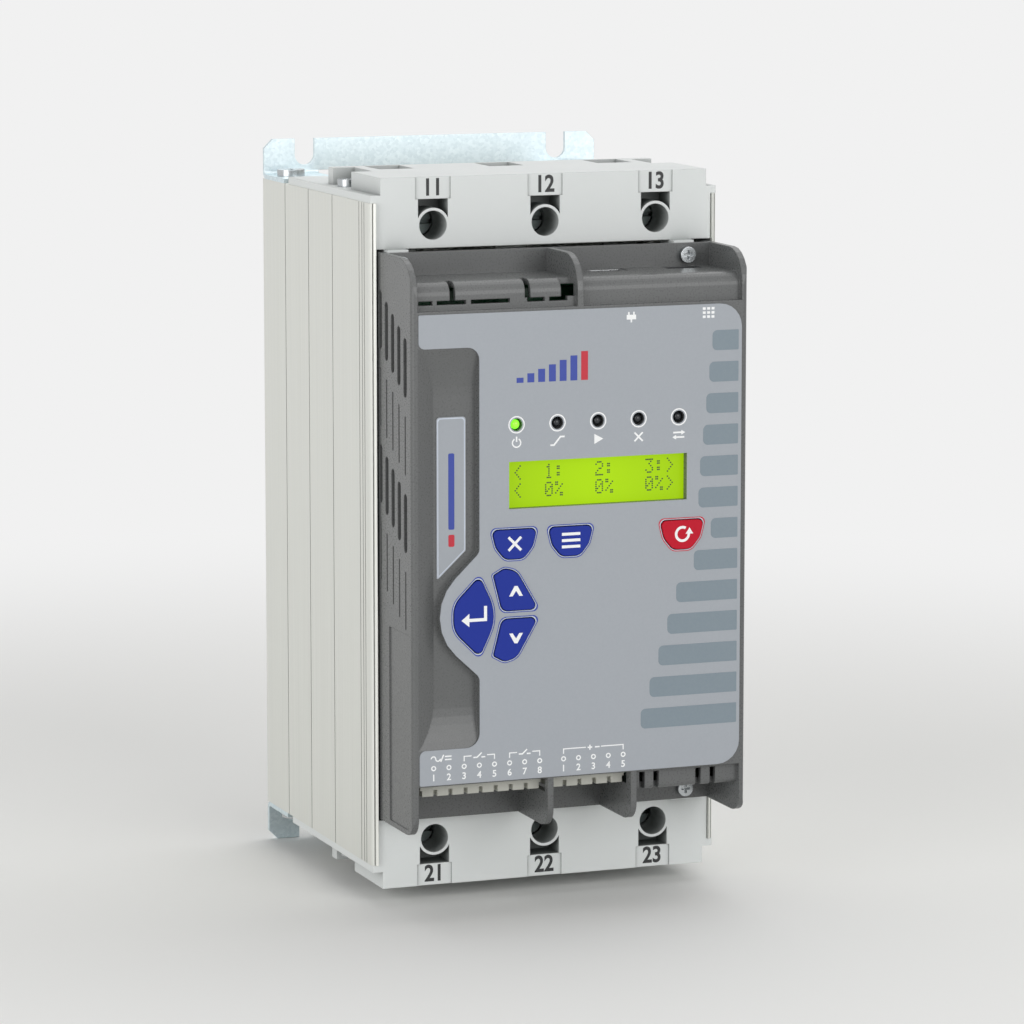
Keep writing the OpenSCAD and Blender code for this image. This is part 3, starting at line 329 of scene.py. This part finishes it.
def light_lens():
    """Clear epoxy lens of an indicator: dark and glossy when off. The first one is lit green
    at its tip."""
    lit_depth = 2
    made, tree, shader, place = new_finish("clear_epoxy")
    after_first = (LIGHTS_X[0] + LIGHTS_X[1]) / 2
    side = add(tree, "ShaderNodeSeparateXYZ", {"Vector": place})
    lit = add(tree, "ShaderNodeMath", {0: side.outputs["X"], 1: after_first * MM},
              operation="LESS_THAN").outputs["Value"]
    tone = add(tree, "ShaderNodeMix",
               {SHARE: lit, FIRST: linear("#23262a"), SECOND: linear("#7dff2e")},
               data_type="RGBA").outputs[MIXED]
    front = in_front(tree, place, FILM_FRONT - lit_depth)
    level = add(tree, "ShaderNodeMath", {0: lit, 1: front}, operation="MULTIPLY")
    fill(tree, shader, {
        "Base Color": tone, "Emission Color": linear("#8cff3a"),
        "Emission Strength": level.outputs["Value"], "Roughness": 0.12})
    return made


def looked_at(tree):
    """1 for rays from the camera, a reflection or a glass, and 0 for the light that falls on
    things."""
    ray = add(tree, "ShaderNodeLightPath")
    mirrored = add(tree, "ShaderNodeMath",
                   {0: ray.outputs["Is Glossy Ray"], 1: ray.outputs["Is Transmission Ray"]},
                   operation="MAXIMUM")
    return add(tree, "ShaderNodeMath",
               {0: ray.outputs["Is Camera Ray"], 1: mirrored.outputs["Value"]},
               operation="MAXIMUM").outputs["Value"]


def studio_paper():
    """White background paper: it takes the shadow near the unit and fades to an even white
    behind it."""
    made, tree, shader, place = new_finish("white_background_paper")
    fill(tree, shader, {
        "Base Color": linear("#ededeb"), "Roughness": 0.9, "Specular IOR Level": 0.1})
    away = add(tree, "ShaderNodeVectorMath", {0: place}, operation="LENGTH")
    fade = add(tree, "ShaderNodeMapRange",
               {"Value": away.outputs["Value"], "From Min": FADE_START, "From Max": FADE_END},
               interpolation_type="SMOOTHSTEP")
    share = add(tree, "ShaderNodeMath", {0: fade.outputs["Result"], 1: looked_at(tree)},
                operation="MULTIPLY")
    white = add(tree, "ShaderNodeEmission", {"Color": linear("#f1f1f1"), "Strength": 1.0})
    both = add(tree, "ShaderNodeMixShader",
               {0: share.outputs["Value"], 1: shader.outputs["BSDF"],
                2: white.outputs["Emission"]})
    fill(tree, tree.nodes["Material Output"], {"Surface": both.outputs["Shader"]})
    return made


# Sink: pale and satin, with painted shade in its grooves. Brackets: bluish, with a faint spangle.
ALUMINIUM = extruded_aluminium()
GALVANISED = galvanised_steel()

# Screws, spacers and clamp cages: bright and cool
ZINC = plated_metal("zinc_plated_steel", "#a9adaf", "#c9cdcf", 0.22, 2.0)
# Clamp screws: a darker, duller grey
BLACKENED = plated_metal("blackened_steel", "#6d7674", "#7a8381", 0.4, 2.0)
# Busbars: whitish and half dull
TINNED = plated_metal("tin_plated_copper", "#a6a8a5", "#bcbebb", 0.36, 3.0)
# Shell of the data port: bright
PORT_SHELL = plated_metal("nickel_plated_steel", "#a7a9aa", "#c3c5c6", 0.28, 2.0)

# Terminal housings: pale and matt, with painted shade inside their holes and pockets
HOUSING = moulded_plastic("light_grey_polycarbonate", "#dadedd", "#e1e4e3", 0.7, 0.03, 0.5,
                          painted_shade_colour="#4c5250")
# Cover: dark, with a low shine and soft edges
COVER = moulded_plastic("dark_grey_abs", "#5b5d5d", "#656666", 0.6, 0.012, 0.3, edge_mm=0.5)
# Control terminals: warm, pale and half matt
TERMINAL = moulded_plastic("beige_grey_nylon", "#b3b3aa", "#bfbfb6", 0.6, 0.03, 0.45)
# Modules, relays and transformers: nearly black and matt
RESIN = moulded_plastic("black_epoxy_resin", "#26282b", "#303337", 0.8, 0.04, 0.5)
# Keypad socket: nearly black and half matt
SOCKET = moulded_plastic("black_nylon", "#1f2124", "#2a2c30", 0.8, 0.03, 0.45)
# Circuit boards: deep green lacquer with a low shine
BOARD = moulded_plastic("green_solder_mask", "#235236", "#2d6544", 1.5, 0.03, 0.3)
# Keys: strong colour and hardly any shine
BLUE_KEY = moulded_plastic("blue_silicone", "#1c3091", "#223697", 0.6, 0.02, 0.5, shine=0.2)
RED_KEY = moulded_plastic("red_silicone", "#b80f28", "#c4132c", 0.6, 0.02, 0.5, shine=0.2)

# Film, and the inks on it: flat, even colours that are half matt
FILM = printed_ink("blue_grey_polyester_film", "#9da2a9", "#a3a8ae", 0.5)
WHITE_INK = printed_ink("white_ink", "#f0f1f1", "#f7f8f8", 0.5)
BLUE_INK = printed_ink("blue_ink", "#2a3f98", "#2f44a0", 0.5)
RED_INK = printed_ink("red_ink", "#b8182e", "#c41d34", 0.5)
BLACK_INK = printed_ink("black_ink", "#1b1c1d", "#232425", 0.5)
SHADE_INK = printed_ink("blue_grey_ink", "#788690", "#7f8c94", 0.5)
RING_INK = printed_ink("pale_blue_ink", "#c3cbd8", "#cbd2de", 0.5)

# Display, its dark green dots, and the lenses of the lights
DISPLAY = backlit_display()
DOTS = printed_ink("dark_liquid_crystal", "#2b4206", "#334b0a", 0.4)
LENS = light_lens()

NODE_FINISH = {
    "heat_sink": ALUMINIUM, "upper_bracket": GALVANISED, "lower_bracket": GALVANISED,
    "bracket_screws": ZINC, "line_terminal_housing": HOUSING, "load_terminal_housing": HOUSING,
    "housing_screws": ZINC, "module_screws": ZINC, "busbar_screws": ZINC, "power_board": BOARD,
    "board_spacers": ZINC, "control_board": BOARD, "front_cover": COVER, "cover_screws": ZINC,
    "keypad_film": FILM, "side_label": FILM, "display_module": RESIN, "display_glass": DISPLAY,
    "display_board": BOARD, "indicator_lights": LENS, "key_switches": RESIN,
    "back_key": BLUE_KEY, "menu_key": BLUE_KEY, "reset_key": RED_KEY, "enter_key": BLUE_KEY,
    "up_key": BLUE_KEY, "down_key": BLUE_KEY, "relay_terminal_block": TERMINAL,
    "input_terminal_block": TERMINAL, "terminal_block_screws": ZINC, "data_port": PORT_SHELL,
    "keypad_socket": SOCKET,
}
# Nodes that come once for each pole, without the number at the end of their names
POLE_FINISH = {
    "thyristor_module": RESIN, "current_transformer": RESIN, "bypass_relay": RESIN,
    "line_busbar": TINNED, "load_busbar": TINNED, "line_clamp_cage": ZINC,
    "load_clamp_cage": ZINC, "line_clamp_screw": BLACKENED, "load_clamp_screw": BLACKENED,
}


def dress_nodes():
    for name, piece in nodes.items():
        finish = NODE_FINISH.get(name) or POLE_FINISH[name.rsplit("_", 1)[0]]
        piece.data.materials.clear()
        piece.data.materials.append(finish)


# Outlines in x and z, in millimetres

def moved(points, dx, dz):
    return [(x + dx, z + dz) for x, z in points]


def placed(outlines, x, z):
    """The outlines of one sign, moved to its place."""
    return [moved(points, x, z) for points in outlines]


def flipped(points):
    """An outline upside down, still in its old sense of turning."""
    return [(x, -z) for x, z in reversed(points)]


def rounded(points, radii):
    """An outline with one corner radius for each point."""
    made = []
    for i, radius in enumerate(radii):
        here = Vector(points[i])
        to_last = (Vector(points[i - 1]) - here).normalized()
        to_next = (Vector(points[(i + 1) % len(points)]) - here).normalized()
        half = to_last.angle(to_next) / 2
        centre = here + (to_last + to_next).normalized() * radius / math.sin(half)
        first = here + to_last * radius / math.tan(half) - centre
        last = here + to_next * radius / math.tan(half) - centre
        start = math.atan2(first.y, first.x)
        sweep = (math.atan2(last.y, last.x) - start + 3 * math.pi) % (2 * math.pi) - math.pi
        turns = [start + sweep * k / CORNER_STEPS for k in range(CORNER_STEPS + 1)]
        made += [(centre.x + radius * math.cos(t), centre.y + radius * math.sin(t)) for t in turns]
    return made


def outset(points, d):
    """A counter-clockwise outline with every edge moved outwards by d."""
    made = []
    for i, here in enumerate(points):
        last, following = points[i - 1], points[(i + 1) % len(points)]
        before = Vector((here[1] - last[1], last[0] - here[0])).normalized()
        after = Vector((following[1] - here[1], here[0] - following[0])).normalized()
        made.append(Vector(here) + (before + after) * d / (1 + before.dot(after)))
    return [(p.x, p.y) for p in made]


def bar(x0, x1, z0, z1):
    return [(x0, z0), (x1, z0), (x1, z1), (x0, z1)]


def path(points, width):
    """A straight or bent line of print as one outline, with mitred corners and square ends."""
    ahead = [(Vector(b) - Vector(a)).normalized() for a, b in zip(points, points[1:])]
    left, right = [], []
    for i, point in enumerate(points):
        last, following = ahead[max(i - 1, 0)], ahead[min(i, len(ahead) - 1)]
        before, after = Vector((-last.y, last.x)), Vector((-following.y, following.x))
        side = (before + after) * width / 2 / (1 + before.dot(after))
        left.append(tuple(Vector(point) + side))
        right.append(tuple(Vector(point) - side))
    return right + left[::-1]


def cross(arm, width):
    """A diagonal cross as one outline."""
    h, turn = width / 2, math.sqrt(0.5)
    plus = [(h, -h), (arm, -h), (arm, h), (h, h), (h, arm), (-h, arm),
            (-h, h), (-arm, h), (-arm, -h), (-h, -h), (-h, -arm), (h, -arm)]
    return [((p - q) * turn, (p + q) * turn) for p, q in plus]


def arc_band(inner, outer, start, end):
    """Part of a ring, from one angle to another in degrees."""
    turns = [math.radians(start + (end - start) * k / ARC_STEPS) for k in range(ARC_STEPS + 1)]
    return [(outer * math.cos(t), outer * math.sin(t)) for t in turns] + \
           [(inner * math.cos(t), inner * math.sin(t)) for t in reversed(turns)]


def circle(x, z, radius, steps):
    turns = [2 * math.pi * k / steps for k in range(steps)]
    return [(x + radius * math.cos(t), z + radius * math.sin(t)) for t in turns]


# Pieces

def deselect():
    bpy.ops.object.select_all(action="DESELECT")


def set_outline(piece, outline, depth, first=0):
    for vertex, (x, z) in zip(piece.data.vertices[first:], outline):
        vertex.co = (x * MM, -depth * MM, z * MM)


def thicken():
    """Flat faces in edit mode, extruded forwards to the thickness of print."""
    bpy.ops.mesh.select_all(action="SELECT")
    bpy.ops.mesh.extrude_region_move(TRANSFORM_OT_translate={"value": (0, -PRINT * MM, 0)})
    bpy.ops.mesh.select_all(action="SELECT")
    bpy.ops.mesh.normals_make_consistent(inside=False)
    bpy.ops.object.mode_set(mode="OBJECT")


def plate(outline, depth, hole=None):
    """A thin plate on the front: a circle of points is set to the outline, filled and
    extruded. With a hole, two circles are bridged instead."""
    deselect()
    bpy.ops.mesh.primitive_circle_add(vertices=len(outline),
                                      fill_type="NOTHING" if hole else "NGON")
    piece = bpy.context.object
    bpy.ops.object.mode_set(mode="EDIT")
    if hole:
        bpy.ops.mesh.primitive_circle_add(vertices=len(hole), fill_type="NOTHING")
    bpy.ops.object.mode_set(mode="OBJECT")
    set_outline(piece, outline, depth)
    if hole:
        set_outline(piece, hole, depth, len(outline))
    bpy.ops.object.mode_set(mode="EDIT")
    if hole:
        bpy.ops.mesh.select_all(action="SELECT")
        bpy.ops.mesh.bridge_edge_loops()
    thicken()
    return piece


def ring(x, z, inner, outer, steps):
    """A printed ring on the film."""
    return plate(circle(x, z, outer, steps), FILM_FRONT, circle(x, z, inner, steps))


def numeral(text, x, z, height, depth, squeeze=1.0, weight=0.0):
    """A plain number, made a mesh and then set upright on the front."""
    digit_share = 0.7
    deselect()
    bpy.ops.object.text_add()
    letters = bpy.context.object.data
    letters.body = text
    letters.align_x = "CENTER"
    letters.align_y = "CENTER"
    letters.size = height / digit_share * MM
    letters.extrude = PRINT / 2 * MM
    letters.offset = weight * MM
    bpy.ops.object.convert(target="MESH")
    piece = bpy.context.object
    piece.scale = (squeeze, 1, 1)
    piece.rotation_euler = (math.pi / 2, 0, 0)
    piece.location = (x * MM, -(depth + PRINT / 2) * MM, z * MM)
    bpy.ops.object.transform_apply(location=True, rotation=True, scale=True)
    return piece


def joined(name, pieces, finish, body=BODY):
    """Several pieces of one print as one mesh that rides on a body."""
    deselect()
    for piece in pieces:
        piece.select_set(True)
    bpy.context.view_layer.objects.active = pieces[0]
    if len(pieces) > 1:
        bpy.ops.object.join()
    piece = bpy.context.object
    piece.name = name
    piece.data.name = name
    piece.data.materials.clear()
    piece.data.materials.append(finish)
    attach(piece, body)


# Keypad: a pale ring and a thin coloured line around each key, and a white sign on it

# Outer edges of the rings, as in part.scad. A key is smaller by the ring, and its hole in the
# film is larger than the key by the gap.
KEYPAD_Z = -21.5
BACK_X, MENU_X, RESET_X = -22.8, -3.9, 34.0
SHIELD_Z = 0.8
SHIELD_W, SHIELD_H = 16.9, 10.8
SHIELD = [(-SHIELD_W / 2, SHIELD_H / 2), (-SHIELD_W * 0.4, -SHIELD_H * 0.12),
          (-SHIELD_W * 0.2, -SHIELD_H / 2), (SHIELD_W * 0.2, -SHIELD_H / 2),
          (SHIELD_W * 0.4, -SHIELD_H * 0.12), (SHIELD_W / 2, SHIELD_H / 2)]
SHIELD_RADII = (1.8, 5, 3.5, 3.5, 5, 1.8)
ENTER = [(-34.2, 13.9), (-43.7, 4.5), (-43.7, -4.5), (-34.2, -13.9), (-27.6, 0)]
ENTER_RADII = (1.8, 8, 8, 1.8, 14)
ARROW = [(-27.4, 0.6), (-13.6, 0.6), (-21.6, 14.3), (-26.2, 15.5), (-30.6, 13.1)]
ARROW_RADII = (2.6, 1.6, 5, 3, 1)
KEY_GAP = 0.3
RING_W = 0.8
LINE_W = 0.28

KEY_OUTLINES = {
    "back_key": (moved(SHIELD, BACK_X, SHIELD_Z), SHIELD_RADII),
    "menu_key": (moved(SHIELD, MENU_X, SHIELD_Z), SHIELD_RADII),
    "reset_key": (moved(SHIELD, RESET_X, SHIELD_Z), SHIELD_RADII),
    "enter_key": (moved(ENTER, 0, KEYPAD_Z), ENTER_RADII),
    "up_key": (moved(ARROW, 0, KEYPAD_Z), ARROW_RADII),
    "down_key": (moved(flipped(ARROW), 0, KEYPAD_Z), ARROW_RADII[::-1]),
}


def key_rings():
    pale, blue, red = [], [], []
    for name, (points, radii) in KEY_OUTLINES.items():
        outer = rounded(points, radii)
        line = rounded(outset(points, -LINE_W), radii)
        hole = rounded(outset(points, KEY_GAP - RING_W), radii)
        (red if name == "reset_key" else blue).append(plate(outer, FILM_FRONT, line))
        pale.append(plate(line, FILM_FRONT, hole))
    joined("key_ring_print", pale, RING_INK)
    joined("key_line_print", blue, BLUE_INK)
    joined("reset_line_print", red, RED_INK)


def key_signs():
    """Plain signs on the keys: a cross, three bars, a turning arrow, a bent arrow and two
    arrowheads."""
    sign_z = 1.0
    arm, arm_width = 2.97, 0.85
    half_bar, half_width = 3.1, 0.45
    bars = [bar(-half_bar, half_bar, z - half_width, z + half_width) for z in (-1.9, 0.1, 2.1)]
    turn = [arc_band(1.75, 2.6, 60, 360), [(1.1, 0), (3.7, 0), (2.4, 2.0)]]
    bend = [(-40.6, -0.9), (-38.0, -3.0), (-38.0, -1.4), (-32.1, -1.4), (-32.1, 3.4),
            (-33.1, 3.4), (-33.1, -0.4), (-38.0, -0.4), (-38.0, 1.2)]
    head = [(-24.7, 5.9), (-23.5, 5.9), (-22.4, 7.6), (-21.3, 5.9), (-20.1, 5.9),
            (-21.9, 9.1), (-22.9, 9.1)]
    signs = {
        "back_key": placed([cross(arm, arm_width)], BACK_X, sign_z),
        "menu_key": placed(bars, MENU_X, sign_z),
        "reset_key": placed(turn, RESET_X, sign_z),
        "enter_key": placed([bend], 0, KEYPAD_Z),
        "up_key": placed([head], 0, KEYPAD_Z),
        "down_key": placed([flipped(head)], 0, KEYPAD_Z),
    }
    for key, outlines in signs.items():
        shapes = [plate(points, KEY_FRONT) for points in outlines]
        joined(key + "_sign", shapes, WHITE_INK, key)


# Printed film

def shade_bars():
    """A column of broad bars on the right of the film."""
    lengths = (33, 30, 27, 24, 21, 15, 9.2, 13.5, 13, 12, 11, 10, 9)
    right, lowest, pitch, height = 53.2, -61.0, 10, 6.4
    radii = (1.6, 0.3, 0.3, 1.6)
    shapes = []
    for i, length in enumerate(lengths):
        low = lowest + i * pitch
        points = bar(right - length, right, low, low + height)
        shapes.append(plate(rounded(points, radii), FILM_FRONT))
    joined("shade_bar_print", shapes, SHADE_INK)


def bracket(first, last, z):
    """A bracket over a group of terminals, open in its middle for a sign."""
    half, line, leg, room = 0.18, 0.35, 1.4, 2.6
    middle = (first + last) / 2
    return [bar(first - half, middle - room, z, z + line),
            bar(first - half, first + half, z - leg, z),
            bar(middle + room, last + half, z, z + line),
            bar(last - half, last + half, z - leg, z)]


def white_prints():
    """White print on the film: numbers, rings, brackets and signs."""
    number_z, ring_z, bracket_z = -71.9, -68.8, -65.8
    number_height, number_weight = 2.1, 0.06
    small_ring, light_ring = (0.45, 0.85), (2.35, 2.75)
    shapes = []
    for group in (RELAY_X, INPUT_X):
        for i, x in enumerate(group):
            shapes.append(numeral(str(i + 1), x, number_z, number_height, FILM_FRONT,
                                  weight=number_weight))
            shapes.append(ring(x, ring_z, *small_ring, SMALL_STEPS))
    outlines = bracket(RELAY_X[2], RELAY_X[4], bracket_z) + \
        bracket(RELAY_X[5], RELAY_X[7], bracket_z) + bracket(INPUT_X[0], INPUT_X[4], bracket_z)
    shapes += [plate(points, FILM_FRONT) for points in outlines]
    shapes += [ring(x, LIGHTS_Z, *light_ring, LARGE_STEPS) for x in LIGHTS_X]
    outlines = light_signs() + port_signs() + terminal_signs(bracket_z)
    shapes += [plate(points, FILM_FRONT) for points in outlines]
    joined("white_print", shapes, WHITE_INK)


def light_signs():
    """Plain signs under the lights: on, ramp, running, stopped, data."""
    row_z, width = 32.7, 0.55
    on = [arc_band(1.15, 1.6, 120, 420), bar(-0.25, 0.25, 0.3, 2.0)]
    ramp = [path([(-2.4, -1.3), (-1.2, -1.3), (1.0, 1.3), (2.4, 1.3)], width)]
    running = [[(-1.3, -1.6), (1.7, 0), (-1.3, 1.6)]]
    stopped = [cross(1.98, width)]
    data = [path([(-1.9, 0.75), (0.9, 0.75)], width), [(0.9, 0), (2.2, 0.75), (0.9, 1.5)],
            path([(-0.9, -0.75), (1.9, -0.75)], width), [(-0.9, 0), (-2.2, -0.75), (-0.9, -1.5)]]
    made = []
    for sign, x in zip((on, ramp, running, stopped, data), LIGHTS_X):
        made += placed(sign, x, row_z)
    return made


def port_signs():
    """A plug over the data port and a small keypad over the keypad socket."""
    row_z, plug_x, pad_x = 71.0, 16.5, 42.8
    plug = [bar(-1.6, 1.6, -1.1, 0.4), bar(-1.1, -0.6, 0.4, 1.3), bar(0.6, 1.1, 0.4, 1.3),
            bar(-0.25, 0.25, -2.0, -1.1)]
    half_w, half_h = 0.5, 0.4
    pad = [bar(x - half_w, x + half_w, z - half_h, z + half_h)
           for x in (-1.5, 0, 1.5) for z in (-1.2, 0.1, 1.4)]
    return placed(plug, plug_x, row_z) + placed(pad, pad_x, row_z)


def terminal_signs(row_z):
    """Signs over the terminal groups: supply, two switching contacts, and plus and minus."""
    width, line_z = 0.45, 0.1
    trough, crest = arc_band(0.55, 0.95, 180, 360), arc_band(0.55, 0.95, 180, 0)
    supply = [path([(1.2, -0.4), (3.4, -0.4)], width), path([(1.2, 0.6), (3.4, 0.6)], width),
              moved(crest, -2.6, 0), moved(trough, -1.1, 0),
              path([(-0.2, -1.0), (0.8, 1.2)], width)]
    contact = [path([(-2.0, -0.4), (-0.75, -0.4), (0.8, 1.0)], width),
               path([(0.7, -0.4), (2.0, -0.4)], width)]
    polarity = [path([(-2.0, line_z), (-0.4, line_z)], width),
                path([(0.5, line_z), (2.1, line_z)], width),
                bar(-1.42, -0.98, -0.7, line_z - width / 2),
                bar(-1.42, -0.98, line_z + width / 2, 0.9)]
    return placed(supply, (RELAY_X[0] + RELAY_X[1]) / 2, row_z) + \
        placed(contact, RELAY_X[3], row_z) + placed(contact, RELAY_X[6], row_z) + \
        placed(polarity, INPUT_X[2], row_z)


def ramp_sign():
    """A small rising ramp above the lights, blue with its last step red."""
    left, low, pitch, width = -22.0, 51.5, 3.6, 2.3
    count, first_height, rise = 7, 1.6, 1.25
    steps = []
    for i in range(count):
        x = left + i * pitch
        steps.append(plate(bar(x, x + width, low, low + first_height + rise * i), FILM_FRONT))
    joined("ramp_sign_blue", steps[:-1], BLUE_INK)
    joined("ramp_sign_red", steps[-1:], RED_INK)


def strip_print():
    """A thin edge, and a blue band with a red end, on the label strip."""
    edge_from, edge_to = 0.25, 0.6
    outer = rounded(outset(LABEL, -edge_from), LABEL_RADII)
    inner = rounded(outset(LABEL, -edge_to), LABEL_RADII)
    joined("strip_edge_print", [plate(outer, LABEL_FRONT, inner)], RING_INK)
    left, right, corner = -43.6, -41.6, 0.5
    blue_span, red_span = (6.0, 30.0), (0.6, 4.4)
    blue, red = [plate(rounded(bar(left, right, *span), [corner] * 4), LABEL_FRONT)
                 for span in (blue_span, red_span)]
    joined("strip_band_blue", [blue], BLUE_INK)
    joined("strip_band_red", [red], RED_INK)


def terminal_numbers():
    """Plain numbers on the terminal housings, from 11 at the line end and 21 at the load end."""
    height, squeeze, weight = 5.2, 0.9, 0.2
    shapes = []
    for i, x in enumerate(POLES):
        for first, z in ((11, HOUSE_LABEL_Z), (21, -HOUSE_LABEL_Z)):
            shapes.append(numeral(str(first + i), x, z, height, HOUSE_LABEL_FRONT, squeeze,
                                  weight))
    joined("terminal_number_print", shapes, BLACK_INK)


# Dots of the display: five by seven for each character
CHARACTERS = {
    "0": "01110 10001 10011 10101 11001 10001 01110",
    "1": "00100 01100 00100 00100 00100 00100 01110",
    "2": "01110 10001 00001 00110 01000 10000 11111",
    "3": "11111 00010 00100 00010 00001 10001 01110",
    "<": "00010 00100 01000 10000 01000 00100 00010",
    ">": "01000 00100 00010 00001 00010 00100 01000",
    ":": "00000 01100 01100 00000 01100 01100 00000",
    "%": "11000 11001 00010 00100 01000 10011 00011",
}
DISPLAY_LINES = ("<  1:   2:   3:>", "<  0%   0%   0%>")
DOT = 0.46


def dot_places():
    """Middles of the dots that are on, in x and z."""
    gap, stretch = 0.08, 1.3
    step_x, step_z = DOT + gap, DOT * stretch + gap
    pitch_x, pitch_z = 3.4, 5.7
    middle, top = 5.9, 24.9
    left = middle - pitch_x * len(DISPLAY_LINES[0]) / 2
    for row, line in enumerate(DISPLAY_LINES):
        for column, character in enumerate(line):
            for j, bits in enumerate(CHARACTERS.get(character, "").split()):
                for i, bit in enumerate(bits):
                    if bit == "1":
                        yield (left + column * pitch_x + i * step_x,
                               top - row * pitch_z - j * step_z)


def display_dots():
    """Characters of the display: square dots, added to an empty mesh and thickened together."""
    deselect()
    bpy.ops.mesh.primitive_plane_add(size=1)
    piece = bpy.context.object
    bpy.ops.object.mode_set(mode="EDIT")
    bpy.ops.mesh.delete(type="VERT")
    for x, z in dot_places():
        bpy.ops.mesh.primitive_plane_add(size=DOT * MM, rotation=(math.pi / 2, 0, 0),
                                         location=(x * MM, -GLASS_FRONT * MM, z * MM))
    thicken()
    joined("display_characters", [piece], DOTS)


def studio():
    """Floor, lamps and world."""
    deselect()
    bpy.ops.mesh.primitive_plane_add(size=FLOOR_SIZE,
                                     location=(0, 0, cad_box[0].z - FLOOR_GAP))
    floor = bpy.context.object
    floor.name = "studio_floor"
    floor.data.materials.append(studio_paper())
    for name, (place, size, power) in LAMPS.items():
        soft_box(name, place, size, power)
    world = bpy.data.worlds.new("studio_world")
    bpy.context.scene.world = world
    world.use_nodes = True
    tree = world.node_tree
    level = add(tree, "ShaderNodeMapRange",
                {"Value": looked_at(tree), "To Min": WORLD_LIGHT, "To Max": WORLD_SEEN})
    fill(tree, tree.nodes["Background"],
         {"Color": linear("#f4f4f4"), "Strength": level.outputs["Result"]})


studio_camera()
dress_nodes()
key_rings()
key_signs()
shade_bars()
white_prints()
ramp_sign()
strip_print()
terminal_numbers()
display_dots()
studio()
bpy.context.scene.view_settings.view_transform = "Standard"
